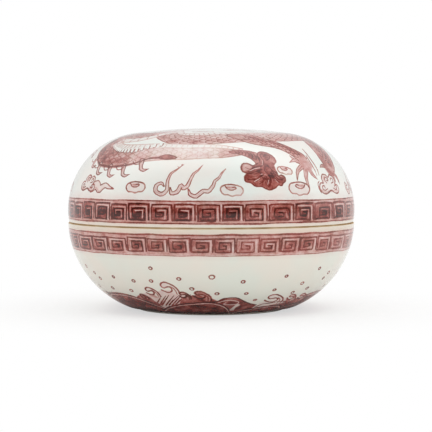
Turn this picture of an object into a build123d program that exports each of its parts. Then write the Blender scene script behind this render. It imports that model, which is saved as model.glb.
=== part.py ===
# Lidded porcelain box for seal paste: a domed lid, a bowl with a foot ring, and the paste it holds.
# Sizes are millimetres. Z is up, the axis of the box is the Z axis, and z = 0 is the surface it stands on.
import os
from math import asin, atan2, degrees, sqrt

from build123d import *

# The outside form
box_diameter = 92.0  # widest, a little above the joint
joint_height = 28.0  # where the lid's rim meets the bowl's rim, above the table
shoulder_radius = 24.7  # arc from the lid's rim up over its shoulder
shoulder_level = 4.0  # the lid's widest place, above the joint
crown_radius = 200.0  # the nearly flat top of the lid
belly_level = 1.0  # centre of the bowl's belly arc, above the joint

# Foot ring, with the narrow trimmed shelf round it where the belly arc stops
foot_outer_radius = 23.6
foot_width = 2.6
foot_shelf_width = 3.2
foot_shelf_height = 0.9
foot_recess = 1.8  # the glazed base inside the ring, above the table
foot_edge = 0.4  # rounding of the ring's edges and of the corners beside it
foot_edge_share = 0.45  # the most of the shelf's height that this rounding takes
shelf_edge = 1.5

# Walls
lid_wall = 3.2
bowl_wall = 3.6
floor_thickness = 3.2
floor_corner = 8.0

# Rims and the standing flange that centres the lid
rim_edge = 0.5  # rounding of both outer rims, which makes the joint's groove
rim_inner_edge = 0.4
flange_clearance = 0.5  # between the flange and the lid's rim, on the radius
flange_thickness = 2.0
flange_height = 4.0
flange_root_depth = 7.0  # how far below the joint the wall starts to thicken inwards
flange_root_rise = 5.5
flange_root_blend = 3.0
flange_tip_share = 0.4  # rounding of the flange's two top edges, as a share of its thickness
flange_corner = 0.4  # rounding where the flange stands up from the rim

# The paste
paste_depth = 14.5  # at its edge, above the bowl's floor
paste_crown = 3.0  # how far its middle stands above its edge
paste_gap = 0.3  # between the paste and the bowl's curved wall
paste_edge = 1.2

# Lid arcs: the shoulder runs from the rim, and the crown is tangent to it
box_radius = box_diameter / 2
shoulder_centre = (box_radius - shoulder_radius, joint_height + shoulder_level)
crown_drop = sqrt((crown_radius - shoulder_radius) ** 2 - shoulder_centre[0] ** 2)
crown_centre = (0.0, shoulder_centre[1] - crown_drop)
join_angle = degrees(atan2(crown_drop, shoulder_centre[0]))

# Belly arc: upright at the belly level, and through the edge of the foot shelf
foot_shelf_radius = foot_outer_radius + foot_shelf_width
belly_drop = joint_height + belly_level - foot_shelf_height
belly_centre = (
    (box_radius**2 - foot_shelf_radius**2 - belly_drop**2) / (2 * (box_radius - foot_shelf_radius)),
    joint_height + belly_level,
)
belly_radius = box_radius - belly_centre[0]

# Heights inside the bowl
floor_level = foot_recess + floor_thickness
paste_level = floor_level + paste_depth


def radius_at(centre, radius, height):
    """Distance from the box's axis of the outer side of an arc at a height."""
    return centre[0] + sqrt(radius**2 - (height - centre[1]) ** 2)


def arc_between(centre, radius, low, high):
    """The outer side of an arc from one height up to another."""
    start = degrees(asin((low - centre[1]) / radius))
    end = degrees(asin((high - centre[1]) / radius))
    return CenterArc(centre, radius, start, end - start)


def round_corner(place, radius):
    """Rounds the corner of the profile that lies at a place."""
    fillet(vertices().sort_by_distance((place[0], place[1], 0))[0], radius)


# Lid: a dome of even wall, thrown or cast in one, with a flat rim that rests on the bowl
lid_rim_radius = radius_at(shoulder_centre, shoulder_radius, joint_height)
lid_bore_radius = radius_at(shoulder_centre, shoulder_radius - lid_wall, joint_height)
lid_top = crown_centre[1] + crown_radius

with BuildPart() as lid:
    with BuildSketch(Plane.XZ):
        with BuildLine():
            for wall in (0.0, lid_wall):
                rim_angle = degrees(asin(-shoulder_level / (shoulder_radius - wall)))
                CenterArc(shoulder_centre, shoulder_radius - wall, rim_angle, join_angle - rim_angle)
                CenterArc(crown_centre, crown_radius - wall, join_angle, 90 - join_angle)
            Line((0, lid_top - lid_wall), (0, lid_top))
            Line((lid_bore_radius, joint_height), (lid_rim_radius, joint_height))
        make_face()
        round_corner((lid_rim_radius, joint_height), rim_edge)
        round_corner((lid_bore_radius, joint_height), rim_inner_edge)
    revolve(axis=Axis.Z)
lid.part.label = "lid"

# Bowl: belly, foot ring and recessed base outside, and inside a floor, a wall and the flange
bowl_rim_radius = radius_at(belly_centre, belly_radius, joint_height)
inner_radius = belly_radius - bowl_wall
floor_radius = radius_at(belly_centre, inner_radius, floor_level)
root_level = joint_height - flange_root_depth
root_radius = radius_at(belly_centre, inner_radius, root_level)
root_top = root_level + flange_root_rise
flange_outer_radius = lid_bore_radius - flange_clearance
flange_inner_radius = flange_outer_radius - flange_thickness
flange_top = joint_height + flange_height
foot_inner_radius = foot_outer_radius - foot_width
foot_rounding = min(foot_edge, foot_edge_share * foot_shelf_height)
tip_rounding = flange_tip_share * flange_thickness

with BuildPart() as bowl:
    with BuildSketch(Plane.XZ):
        with BuildLine():
            arc_between(belly_centre, belly_radius, foot_shelf_height, joint_height)
            Polyline(
                (foot_shelf_radius, foot_shelf_height),
                (foot_outer_radius, foot_shelf_height),
                (foot_outer_radius, 0),
                (foot_inner_radius, 0),
                (foot_inner_radius, foot_recess),
                (0, foot_recess),
                (0, floor_level),
                (floor_radius, floor_level),
            )
            arc_between(belly_centre, inner_radius, floor_level, root_level)
            Polyline(
                (root_radius, root_level),
                (flange_inner_radius, root_top),
                (flange_inner_radius, flange_top),
                (flange_outer_radius, flange_top),
                (flange_outer_radius, joint_height),
                (bowl_rim_radius, joint_height),
            )
        make_face()
        round_corner((foot_shelf_radius, foot_shelf_height), shelf_edge)
        round_corner((foot_outer_radius, foot_shelf_height), foot_rounding)
        round_corner((foot_outer_radius, 0), foot_rounding)
        round_corner((foot_inner_radius, 0), foot_edge)
        round_corner((foot_inner_radius, foot_recess), foot_edge)
        round_corner((floor_radius, floor_level), floor_corner)
        round_corner((root_radius, root_level), flange_root_blend)
        round_corner((flange_inner_radius, root_top), flange_root_blend)
        round_corner((flange_inner_radius, flange_top), tip_rounding)
        round_corner((flange_outer_radius, flange_top), tip_rounding)
        round_corner((flange_outer_radius, joint_height), flange_corner)
        round_corner((bowl_rim_radius, joint_height), rim_edge)
    revolve(axis=Axis.Z)
bowl.part.label = "bowl"

# Paste: a soft cake that lies on the bowl's floor and fills it, with a crowned top
paste_radius = inner_radius - paste_gap
paste_foot_radius = radius_at(belly_centre, paste_radius, floor_level)
paste_top_radius = radius_at(belly_centre, paste_radius, paste_level)
paste_top = paste_level + paste_crown
paste_crown_radius = (paste_top_radius**2 + paste_crown**2) / (2 * paste_crown)

with BuildPart() as paste:
    with BuildSketch(Plane.XZ):
        with BuildLine():
            arc_between(belly_centre, paste_radius, floor_level, paste_level)
            RadiusArc((0, paste_top), (paste_top_radius, paste_level), paste_crown_radius)
            Line((0, floor_level), (0, paste_top))
            Line((0, floor_level), (paste_foot_radius, floor_level))
        make_face()
        round_corner((paste_foot_radius, floor_level), floor_corner + paste_gap)
        round_corner((paste_top_radius, paste_level), paste_edge)
    revolve(axis=Axis.Z)
paste.part.label = "seal_paste"

os.makedirs("parts", exist_ok=True)
export_step(lid.part, "parts/lid.step")
export_step(bowl.part, "parts/bowl.step")
export_step(paste.part, "parts/seal_paste.step")

print("overall", round(2 * box_radius, 2), "wide,", round(lid_top, 2), "high")
print("lid bore radius", round(lid_bore_radius, 3), "flange radius", round(flange_outer_radius, 3))
print("paste top", round(paste_top, 2), "flange inner radius", round(flange_inner_radius, 3))
print("volumes", round(lid.part.volume), round(bowl.part.volume), round(paste.part.volume))
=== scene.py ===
# Round porcelain box for seal paste, painted in underglaze red with a dragon among clouds above a sea.
# Sizes are millimetres, and meshes are written in metres. An angle called turn goes round the box from
# its front, -Y, towards +X, in degrees.
import cmath
import math
import random
from functools import partial

import bpy
import numpy as np
from mathutils import Matrix, Vector, noise
from mathutils.geometry import delaunay_2d_cdt


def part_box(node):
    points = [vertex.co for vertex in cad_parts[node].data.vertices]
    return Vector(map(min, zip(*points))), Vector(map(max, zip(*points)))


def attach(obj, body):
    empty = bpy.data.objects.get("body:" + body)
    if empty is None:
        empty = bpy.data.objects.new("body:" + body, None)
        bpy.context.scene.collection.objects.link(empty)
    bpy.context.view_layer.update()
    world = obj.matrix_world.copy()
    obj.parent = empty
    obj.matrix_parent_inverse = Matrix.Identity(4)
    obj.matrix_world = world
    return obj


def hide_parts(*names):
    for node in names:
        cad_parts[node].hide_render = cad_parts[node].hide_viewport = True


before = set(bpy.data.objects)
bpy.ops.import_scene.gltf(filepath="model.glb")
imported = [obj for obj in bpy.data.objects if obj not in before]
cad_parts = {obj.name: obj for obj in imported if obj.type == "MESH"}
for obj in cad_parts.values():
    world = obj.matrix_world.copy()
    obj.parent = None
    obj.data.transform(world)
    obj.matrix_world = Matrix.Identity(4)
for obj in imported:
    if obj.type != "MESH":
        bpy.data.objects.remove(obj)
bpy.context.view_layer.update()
bpy.ops.object.select_all(action="DESELECT")
MM = 0.001

# The camera: a long lens level with the crown of the lid, looking slightly down at the box.
# Its height, distance and focal length were fitted to the outline and the tilt of the joint and bands,
# in a picture 432 pixels wide and high.
picture_side = 432
focal_pixels = 1679.0
horizon_row = 142.6
axis_column = 211.3
camera_distance = 541.0
camera_height = 53.4
sensor_width = 36.0

camera_data = bpy.data.cameras.new("camera")
camera_data.sensor_width = sensor_width
camera_data.lens = focal_pixels / picture_side * sensor_width
camera_data.clip_start = 0.01
camera_data.clip_end = 20
camera = bpy.data.objects.new("camera", camera_data)
bpy.context.scene.collection.objects.link(camera)
look_down = math.atan((picture_side / 2 - horizon_row) / focal_pixels)
look_right = math.atan((picture_side / 2 - axis_column) / focal_pixels)
camera.location = (0, -camera_distance * MM, camera_height * MM)
camera.rotation_euler = (math.pi / 2 - look_down, 0, -look_right)
bpy.context.scene.camera = camera
bpy.context.scene.view_settings.view_transform = "Standard"


# The room: a white table top under a wide, soft overhead light, with white screens all round.
# The glaze mirrors the screens along its edges and the overhead light along the lid's shoulder.
table_size = 6.0
table_clear = (0.03, 0.1)  # metres from the box over which the table turns to the screens' plain white
table_haze = 0.6  # how far it has turned under the box itself
screen_light = 0.88  # what the screens give to a matt surface
front_mirrored = 0.1  # what the glaze mirrors of the open side, where the camera stands
front_edge = (-0.55, 0.3)  # where the screens end towards the camera, as a share of a unit direction
back_mirrored = 0.8  # the screens right behind the box are darker
back_edge = (0.6, 1.0)
right_lean = (0.1, 0.12)  # how much brighter the right side is than the middle, matt and mirrored
overhead_soft = 0.34  # what the middle of the overhead light adds to that
overhead_mirrored = 1.95  # the brightness that the glaze mirrors of it
overhead_back = 0.04  # how far behind straight up its middle is, as a share of a unit direction
overhead_squash = 0.5  # it is wide from left to right, and narrow from front to back
overhead_edge = (0.2, 0.62)


def srgb(code):
    """A hex colour code as the linear colour that a shader takes."""
    parts = [int(code[i : i + 2], 16) / 255 for i in (1, 3, 5)]
    return tuple(c / 12.92 if c <= 0.04045 else ((c + 0.055) / 1.055) ** 2.4 for c in parts) + (1.0,)


def add_node(tree, kind, inputs=None, stops=(), **settings):
    """Adds a shader node and returns its outputs. Each input is a value, or the output that feeds it, and
    stops are a colour ramp's, as (position, hex colour).

    Inputs 1 to 4 of a MapRange are the range that it reads and the range that it gives. A Mix runs from its
    input 2 to its input 3, or from 6 to 7 where they are colours.
    """
    node = tree.nodes.new("ShaderNode" + kind)
    for name, setting in settings.items():
        setattr(node, name, setting)
    for name, given in (inputs or {}).items():
        if isinstance(given, bpy.types.NodeSocket):
            tree.links.new(given, node.inputs[name])
        else:
            node.inputs[name].default_value = given
    for _ in stops[2:]:
        node.color_ramp.elements.new(1.0)
    for i, (position, code) in enumerate(stops):
        node.color_ramp.elements[i].position = position
        node.color_ramp.elements[i].color = srgb(code)
    return node.outputs


def emptied(block):
    """Clears the nodes of a new material or world, and returns the way to add others."""
    block.use_nodes = True
    block.node_tree.nodes.clear()
    return partial(add_node, block.node_tree)


def white_studio():
    """The screens and the overhead light, as a world. What the glaze mirrors of them is set apart from how
    they light it, as a photographer's flags and lamps do, and the camera sees plain white.
    """
    world = bpy.data.worlds.new("white_studio")
    add = emptied(world)
    smooth = {"interpolation_type": "SMOOTHSTEP"}
    side = add("SeparateXYZ", {"Vector": add("TexCoord")["Generated"]})
    across = add("Math", {0: side["X"], 1: overhead_squash}, operation="MULTIPLY")[0]
    behind = add("Math", {0: side["Y"], 1: overhead_back}, operation="SUBTRACT")[0]
    place = add("CombineXYZ", {"X": across, "Y": behind})[0]
    reach = add("VectorMath", {0: place}, operation="LENGTH")["Value"]
    lamp = add("MapRange", {0: reach, 1: overhead_edge[0], 2: overhead_edge[1], 3: 1.0, 4: 0.0}, **smooth)[0]
    above = add("Math", {0: side["Z"], 1: 0.0}, operation="GREATER_THAN")[0]
    lamp = add("Math", {0: lamp, 1: above}, operation="MULTIPLY")[0]
    rays = add("LightPath")
    glance = {0: rays["Is Glossy Ray"], 1: rays["Is Transmission Ray"]}
    glance = add("Math", glance, operation="MAXIMUM")[0]
    front = {0: side["Y"], 1: front_edge[0], 2: front_edge[1], 3: front_mirrored}
    front = add("MapRange", front, **smooth)[0]
    back = {0: side["Y"], 1: back_edge[0], 2: back_edge[1], 3: 1.0, 4: back_mirrored}
    back = add("MapRange", back, **smooth)[0]
    mirrored = add("Math", {0: front, 1: back}, operation="MULTIPLY")[0]
    screens = add("Mix", {0: glance, 2: screen_light, 3: mirrored})[0]
    level = add("Mix", {0: glance, 2: overhead_soft, 3: overhead_mirrored})[0]
    light = add("Math", {0: lamp, 1: level, 2: screens}, operation="MULTIPLY_ADD")[0]
    lean = add("Mix", {0: glance, 2: right_lean[0], 3: right_lean[1]})[0]
    lean = add("Math", {0: lean, 1: side["X"], 2: 1.0}, operation="MULTIPLY_ADD")[0]
    light = add("Math", {0: light, 1: lean}, operation="MULTIPLY")[0]
    seen = add("Mix", {0: rays["Is Camera Ray"], 2: light, 3: 1.0})[0]
    background = add("Background", {"Color": (1, 1, 1, 1), "Strength": seen})[0]
    add("OutputWorld", {"Surface": background})
    return world


def table_top_white():
    """White laminate that keeps the box's shadow, and turns to the screens' white further out."""
    material = bpy.data.materials.new("table_top_white")
    add = emptied(material)
    reach = add("VectorMath", {0: add("TexCoord")["Object"]}, operation="LENGTH")["Value"]
    far = {0: reach, 1: table_clear[0], 2: table_clear[1], 3: table_haze}
    far = add("MapRange", far, interpolation_type="SMOOTHSTEP")[0]
    far = add("Math", {0: far, 1: add("LightPath")["Is Camera Ray"]}, operation="MULTIPLY")[0]
    matt = add("BsdfDiffuse", {"Color": srgb("#f8f8f7")})[0]
    white = add("Emission", {"Color": (1, 1, 1, 1)})[0]
    add("OutputMaterial", {"Surface": add("MixShader", {0: far, 1: matt, 2: white})[0]})
    return material


bpy.context.scene.world = white_studio()
bpy.ops.mesh.primitive_plane_add(size=table_size)
table = bpy.context.object
table.name = "table"
table.data.materials.append(table_top_white())


# The lid: a shallow porcelain dome of even wall, cast or thrown in one piece and trimmed. Its flat rim
# is wiped clean of glaze so that it doesn't stick in the kiln. The rest is painted in copper red on the
# raw clay, dipped in clear glaze and fired once, so the drawing lies under the gloss and bleeds a little.
box_radius = (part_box("lid")[1].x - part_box("lid")[0].x) / 2 / MM
joint_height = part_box("lid")[0].z / MM
shoulder_radius = 24.7
shoulder_level = 4.0
crown_radius = 200.0
lid_wall = 3.2
rim_edge = 0.5
rim_inner_edge = 0.4
rim_step = 0.1  # between the points of the last glazed millimetre over a rim
ceiling_step = 1.2
lid_skin_end = 63.5  # the painted dome ends here, measured over the dome from its middle
turned_sides = 256  # facets round each turned surface
fine_step = 0.15  # between the points of a painted profile
coarse_step = 0.7  # and of a plain one
weld_reach = 0.002 * MM
smooth_angle = math.radians(50)


def arc(centre, radius, start, end, step=coarse_step):
    """Points (radius, height, rounding) of a profile's arc between two angles above the horizontal."""
    count = max(3, int(abs(math.radians(end - start)) * radius / step) + 2)
    angles = np.radians(np.linspace(start, end, count))
    return [(centre[0] + radius * math.cos(a), centre[1] + radius * math.sin(a), 0.0) for a in angles]


def rounded(profile):
    """A profile's points, each (radius, height, rounding), with its corners rounded by small arcs."""
    points = [np.array(p[:2]) for p in profile]
    result = [points[0]]
    swallowed = 0.0
    for i in range(1, len(points)):
        here, before = points[i], points[i - 1]
        rounding = profile[i][2]
        if rounding == 0:
            swallowed -= np.linalg.norm(here - before)
            if swallowed < 0:
                result.append(here)
            continue
        come = (here - before) / np.linalg.norm(here - before)
        go = (points[i + 1] - here) / np.linalg.norm(points[i + 1] - here)
        bend = math.acos(np.clip(come @ go, -1, 1))
        swallowed = rounding * math.tan(bend / 2)
        centre = here + (go - come) / np.linalg.norm(go - come) * rounding / math.cos(bend / 2)
        while len(result) > 1 and np.linalg.norm(result[-1] - here) < swallowed:
            result.pop()
        start, end = here - come * swallowed - centre, here + go * swallowed - centre
        steps = max(3, int(bend / 0.3) + 1)
        for k in range(steps + 1):
            ahead, back = math.sin(bend * k / steps), math.sin(bend * (1 - k / steps))
            result.append(centre + (back * start + ahead * end) / math.sin(bend))
    return result


def spun(name, profile):
    """Spins (radius, height) points right round the axis of the box, as an open shell."""
    mesh = bpy.data.meshes.new(name)
    points = [(r * MM, 0, z * MM) for r, z in profile]
    mesh.from_pydata(points, [(i, i + 1) for i in range(len(points) - 1)], [])
    piece = bpy.data.objects.new(name, mesh)
    bpy.context.scene.collection.objects.link(piece)
    bpy.ops.object.select_all(action="DESELECT")
    piece.select_set(True)
    bpy.context.view_layer.objects.active = piece
    bpy.ops.object.mode_set(mode="EDIT")
    bpy.ops.mesh.select_all(action="SELECT")
    bpy.ops.mesh.spin(steps=turned_sides, angle=2 * math.pi, center=(0, 0, 0), axis=(0, 0, 1))
    bpy.ops.mesh.select_all(action="SELECT")
    bpy.ops.mesh.remove_doubles(threshold=weld_reach)
    bpy.ops.object.mode_set(mode="OBJECT")
    return piece


class Surface:
    """A turned outside face, laid flat for painting so that small shapes keep their form.

    A place on it is (turn, along): degrees from the front, and millimetres over the face from the first
    point of its profile. Laid flat, it is a complex number with the axis of the box at zero. Along the
    profile the surface knows its radii and heights, the way so far, the flat reach from the axis, and which
    way is out.
    """

    def __init__(self, profile, first=0.0):
        self.radii = np.array([p[0] for p in profile])
        self.heights = np.array([p[1] for p in profile])
        self.way = first + np.r_[0, np.cumsum(np.hypot(np.diff(self.radii), np.diff(self.heights)))]
        self.domed = self.radii[0] < 1e-6
        inner = 1 if self.domed else 0
        middle = (self.radii[1:] + self.radii[:-1]) / 2
        growth = np.diff(self.way) / middle * (1 if self.domed else -1)
        growth[:inner] = 0
        self.reach = self.radii[inner] * np.exp(np.r_[0, np.cumsum(growth)])
        self.reach[:inner] = 0
        self.order = np.argsort(self.reach)
        self.out_r = -np.gradient(self.heights, self.way)
        self.out_z = np.gradient(self.radii, self.way)
        self.ends = [self.way[-1]] if self.domed else [self.way[0], self.way[-1]]

    def at(self, along, values):
        """Values that are known along the profile, at distances along it."""
        return np.interp(along, self.way, values)

    def flat(self, places):
        """Places laid flat."""
        turn = np.radians([p[0] for p in places])
        return self.at([p[1] for p in places], self.reach) * (np.sin(turn) - 1j * np.cos(turn))

    def read(self, points, values):
        """Values that are known along the profile, at flat points."""
        return np.interp(np.abs(points), self.reach[self.order], values[self.order])

    def scale(self, points):
        """How much larger the flat face is than the real one, at flat points."""
        return np.maximum(np.abs(points), 1e-3) / np.maximum(self.read(points, self.radii), 1e-3)

    def lifted(self, points):
        """Flat points put back in their places on the box, and the directions that face out there."""
        a = np.angle(points)
        sides = np.cos(a), np.sin(a)
        r, z = self.read(points, self.radii), self.read(points, self.heights)
        out_r, out_z = self.read(points, self.out_r), self.read(points, self.out_z)
        where = np.stack([r * sides[0], r * sides[1], z], axis=1)
        return where, np.stack([out_r * sides[0], out_r * sides[1], out_z], axis=1)

    def placed(self, points):
        """Places of flat points."""
        return list(zip(np.degrees(np.arctan2(points.real, -points.imag)), self.read(points, self.way)))

    def about(self, turn, along, size=1.0, lean=0.0, flip=False):
        """Gives the places of shapes drawn upright, (right, up) in millimetres, about a place here."""
        middle = self.flat([(turn, along)])[0]
        tilt = size / self.at(along, self.radii) * cmath.exp(1j * math.radians(lean))
        away = -1 if self.domed else 1

        def places(shape):
            drawn = np.array([complex(-x if flip else x, y) for x, y in shape]) * tilt
            return self.placed(middle * np.exp(away * drawn.imag + 1j * drawn.real))

        return places


def smooth_line(flat, closed=False, corners=False):
    """A line through flat points, in small steps: smooth, or straight with sharp corners."""
    count = len(flat)
    steps = np.linspace(0, 1, 9)[:-1]
    if closed:
        ring = np.r_[flat[-1], flat, flat[0], flat[1]]
    else:
        ring = np.r_[2 * flat[0] - flat[1], flat, 2 * flat[-1] - flat[-2]]
    dense = []
    for i in range(count if closed else count - 1):
        a, b, c, d = ring[i : i + 4]
        if corners:
            dense.append(b + (c - b) * steps)
        else:
            bend = (c - a) * steps + (2 * a - 5 * b + 4 * c - d) * steps**2
            dense.append(b + 0.5 * (bend + (3 * b - a - 3 * c + d) * steps**3))
    return np.concatenate(dense + [[flat[0] if closed else flat[-1]]])


def thinned(line, slack, longest):
    """Which points of a line have to stay for it to keep its shape."""
    kept = [0]
    last = 0
    for j in range(2, len(line)):
        chord = line[j] - line[last]
        length = max(abs(chord), 1e-9)
        off = np.abs(((line[last + 1 : j] - line[last]) * np.conj(chord)).imag) / length
        if off.max() > slack or length > longest:
            kept.append(j - 1)
            last = j - 1
    return kept + [len(line) - 1]


def side_steps(line, closed=False):
    """Unit steps to the left of a line at its points, longer at sharp corners."""
    along = np.diff(line)
    along = along / np.maximum(np.abs(along), 1e-12)
    first, last = (along[-1], along[0]) if closed else (along[0], along[-1])
    come, go = np.r_[first, along], np.r_[along, last]
    middle = come + go
    middle = np.where(np.abs(middle) < 0.3, go, middle)
    middle = middle / np.abs(middle)
    return 1j * middle / np.maximum((middle * np.conj(go)).real, 0.5)


def near_line(points, line, *values):
    """Distance of each point from each piece of a line, and what values along the line are there."""
    step = np.diff(line)
    step = np.where(np.abs(step) < 1e-9, 1e-9, step)
    apart = points[:, None] - line[None, :-1]
    share = np.clip((apart * np.conj(step)).real / np.abs(step) ** 2, 0, 1)
    return [np.abs(apart - share * step)] + [v[:-1] + share * np.diff(v) for v in values]


def inside(points, outline):
    """Whether each point is inside a closed line: where an odd number of its sides lie to the right."""
    a, b = outline[:-1], outline[1:]
    spans = (a.imag[None] > points.imag[:, None]) != (b.imag[None] > points.imag[:, None])
    rise = np.where(np.abs(b.imag - a.imag) < 1e-12, 1e-12, b.imag - a.imag)
    cross = a.real + (points.imag[:, None] - a.imag) / rise * (b.real - a.real)
    return (spans & (points.real[:, None] < cross)).sum(axis=1) % 2 == 1


# The kinds of mark. Each changes the looks (wash, line, tone, bare) of the mesh's points found near a shape
def paint_belt(looks, found, here, rings, surface, top, bottom, depth, soft):
    """Thin colour between two distances along the surface."""
    along = surface.read(here, surface.way)
    share = np.clip(0.5 + np.minimum(along - top, bottom - along) / soft, 0, 1)
    looks["wash"][found] = np.maximum(looks["wash"][found], depth * share)


def paint_fill(looks, found, here, outline, soft, depth, covers):
    """Thin colour inside an outline, over what is there or in its place."""
    away = near_line(here, outline)[0].min(axis=1)
    share = np.clip(0.5 + np.where(inside(here, outline), away, -away) / soft, 0, 1)
    if covers:
        looks["wash"][found] += (depth - looks["wash"][found]) * share
        looks["line"][found] *= 1 - share
        looks["bare"][found] *= 1 - share
    else:
        looks["wash"][found] = np.maximum(looks["wash"][found], depth * share)


def paint_wash(looks, found, here, line, halves, depths, soft):
    """Thin colour along a broad stroke."""
    away, half, depth = near_line(here, line, halves, depths)
    share = np.clip((half - away) / np.minimum(soft, half), 0, 1)
    looks["wash"][found] = np.maximum(looks["wash"][found], (share * depth).max(axis=1))


def paint_wipe(looks, found, here, line, halves, depths, soft):
    """Thin colour wiped back along a broad stroke, to its own depth."""
    away, half, depth = near_line(here, line, halves, depths)
    share = np.clip((half - away) / np.minimum(soft, half), 0, 1).max(axis=1)
    looks["wash"][found] += (depth.mean() - looks["wash"][found]) * share


def paint_line(looks, found, here, line, halves, tones):
    """A brush line, in the tone of whichever line is the strongest at each point."""
    away, half, tone = near_line(here, line, halves, tones)
    share = np.clip(1 - away / (2 * half), 0, 1)
    best = share.argmax(axis=1)[:, None]
    share = np.take_along_axis(share, best, 1)[:, 0]
    stronger = share > looks["line"][found]
    looks["tone"][found[stronger]] = np.take_along_axis(tone, best, 1)[stronger, 0]
    looks["line"][found] = np.maximum(looks["line"][found], share)


def paint_scrape(looks, found, here, line, halves, tones):
    """A line scraped through the colour, down to the clay."""
    away, half = near_line(here, line, halves)
    share = np.clip(1 - away / (2 * half), 0, 1).max(axis=1)
    looks["bare"][found] = np.maximum(looks["bare"][found], share)


class Painting:
    """Brushwork on a surface. Each stroke or wash lays the edges that it needs into the surface's mesh, so
    the drawing is as sharp as the mesh, and then colours the mesh's points, in the order of painting.

    wash is how dense a thin colour lies. line and bare are 1 along the middle of a stroke and 0 at its
    full width to each side, so a stroke's edge is where they pass a half. tone is how dark a stroke is.
    Widths, and how soft an edge is, are millimetres on the box. A value may be given as several numbers,
    evenly spaced along the stroke.
    """

    slack = 0.06  # how far a line in the mesh may be from its true curve
    longest = 2.0  # between two of its points
    margin = 0.05  # kept clear along the surface's ends
    spacing = 1.8  # between the points that fill up the mesh
    merged = 0.06  # points of the flat mesh that are nearer than this become one

    def __init__(self, surface):
        self.surface = surface
        self.points, self.edges, self.marks = [], [], []
        low, high = surface.reach.min(), surface.reach.max()
        self.limits = (low + self.margin if low > 0 else -1, high - self.margin)

    def lay(self, line, closed=False):
        """Puts a line of flat points into the mesh as edges, where it is on the surface."""
        reach = np.abs(line)
        inside = (reach > self.limits[0]) & (reach < self.limits[1])
        names = {}
        for i in np.nonzero(inside)[0]:
            names[i] = len(self.points)
            self.points.append((line[i].real, line[i].imag))
        pairs = [(i, i + 1) for i in range(len(line) - 1)] + ([(len(line) - 1, 0)] if closed else [])
        self.edges += [(names[a], names[b]) for a, b in pairs if a in names and b in names]

    def line_of(self, places, closed, corners, *values):
        """The flat line of a stroke, and values given along it, read at its points."""
        flat = self.surface.flat(places)
        scale = self.surface.scale(flat).mean()
        dense = smooth_line(flat, closed, corners)
        kept = thinned(dense, self.slack * scale, self.longest * scale)
        way = np.r_[0, np.cumsum(np.abs(np.diff(dense)))]
        share = way[kept] / max(way[-1], 1e-9)
        given = [np.atleast_1d(v).astype(float) for v in values]
        return [dense[kept]] + [np.interp(share, np.linspace(0, 1, len(v)), v) for v in given]

    def lay_beside(self, line, sides, closed=False):
        """Lays the two lines that run beside a line."""
        for beside in (line + sides, line - sides):
            self.lay(beside[:-1] if closed else beside, closed)

    def lay_around(self, line, reach, closed=False):
        """Lays a line, and what runs round it at a reach from it."""
        sides = side_steps(line, closed) * reach
        if closed:
            self.lay(line[:-1], closed)
            self.lay_beside(line, sides, closed)
            return
        self.lay(line)
        start = line[0] - (line[1] - line[0]) / abs(line[1] - line[0]) * reach[0]
        end = line[-1] + (line[-1] - line[-2]) / abs(line[-1] - line[-2]) * reach[-1]
        self.lay(np.r_[start, line + sides, end, (line - sides)[::-1]], closed=True)

    def mark(self, paint, line, halves, values, *soft):
        """Remembers a stroke in short lengths, so that each meets few points."""
        for i in range(0, len(line) - 1, 20):
            part = slice(i, i + 21)
            reach = 2 * halves[part].max() + 0.05
            self.marks.append((paint, line[part], reach, (halves[part], values[part], *soft)))

    def stroke(self, places, width, tone=0.8, closed=False, corners=False, scraped=False):
        """A line, brushed on or scraped away."""
        line, halves, tones = self.line_of(places, closed, corners, width, tone)
        halves = halves / 2 * self.surface.scale(line)
        self.lay_around(line, 2 * halves, closed)
        self.mark(paint_scrape if scraped else paint_line, line, halves, tones)

    def brush(self, places, width, depth, soft=0.5, covers=False, corners=False):
        """A broad stroke of thin colour with soft edges. One that covers wipes back to its own depth."""
        line, halves, depths = self.line_of(places, False, corners, width, depth)
        scale = self.surface.scale(line)
        halves = halves / 2 * scale
        soft = soft * scale.mean()
        self.lay_around(line, halves)
        self.lay_beside(line, side_steps(line) * np.maximum(halves - soft, 0.1 * halves))
        self.mark(paint_wipe if covers else paint_wash, line, halves, depths, soft)

    def fill(self, places, depth, soft=0.3, covers=True, corners=False):
        """A closed patch of thin colour. One that covers hides what was painted there before."""
        (line,) = self.line_of(places, True, corners)
        soft = soft * self.surface.scale(line).mean()
        self.lay_beside(line, side_steps(line, True) * soft / 2, closed=True)
        self.marks.append((paint_fill, line, soft, (soft, depth, covers)))

    def ribbon(self, places, width, depth, tone, line=0.35, soft=0.25):
        """A tapering shape along a line, covered with thin colour and drawn round."""
        middle, halves = self.line_of(places, False, False, width)
        halves = halves / 2 * self.surface.scale(middle)
        sides = side_steps(middle) * halves
        ends = [(middle[-1], middle[-2], halves[-1]), (middle[0], middle[1], halves[0])]
        round_end = np.exp(1j * np.radians([45, 0, -45]))
        caps = [end + (end - near) / abs(end - near) * half * round_end for end, near, half in ends]
        outline = np.r_[middle + sides, caps[0], (middle - sides)[::-1], caps[1]]
        outline = self.surface.placed(outline)
        self.fill(outline, depth, soft, corners=True)
        self.stroke(outline, line, tone, closed=True, corners=True)

    def belt(self, top, bottom, depth, soft):
        """Thin colour right round the box between two distances along the surface."""
        turns = np.linspace(0, 360, turned_sides, endpoint=False)
        edges = (top - soft / 2, top + soft / 2, bottom - soft / 2, bottom + soft / 2)
        rings = [self.surface.flat([(t, along) for t in turns]) for along in edges]
        for ring in rings:
            self.lay(ring, closed=True)
        self.marks.append((paint_belt, np.concatenate(rings), 0.05, (self.surface, top, bottom, depth, soft)))

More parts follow.
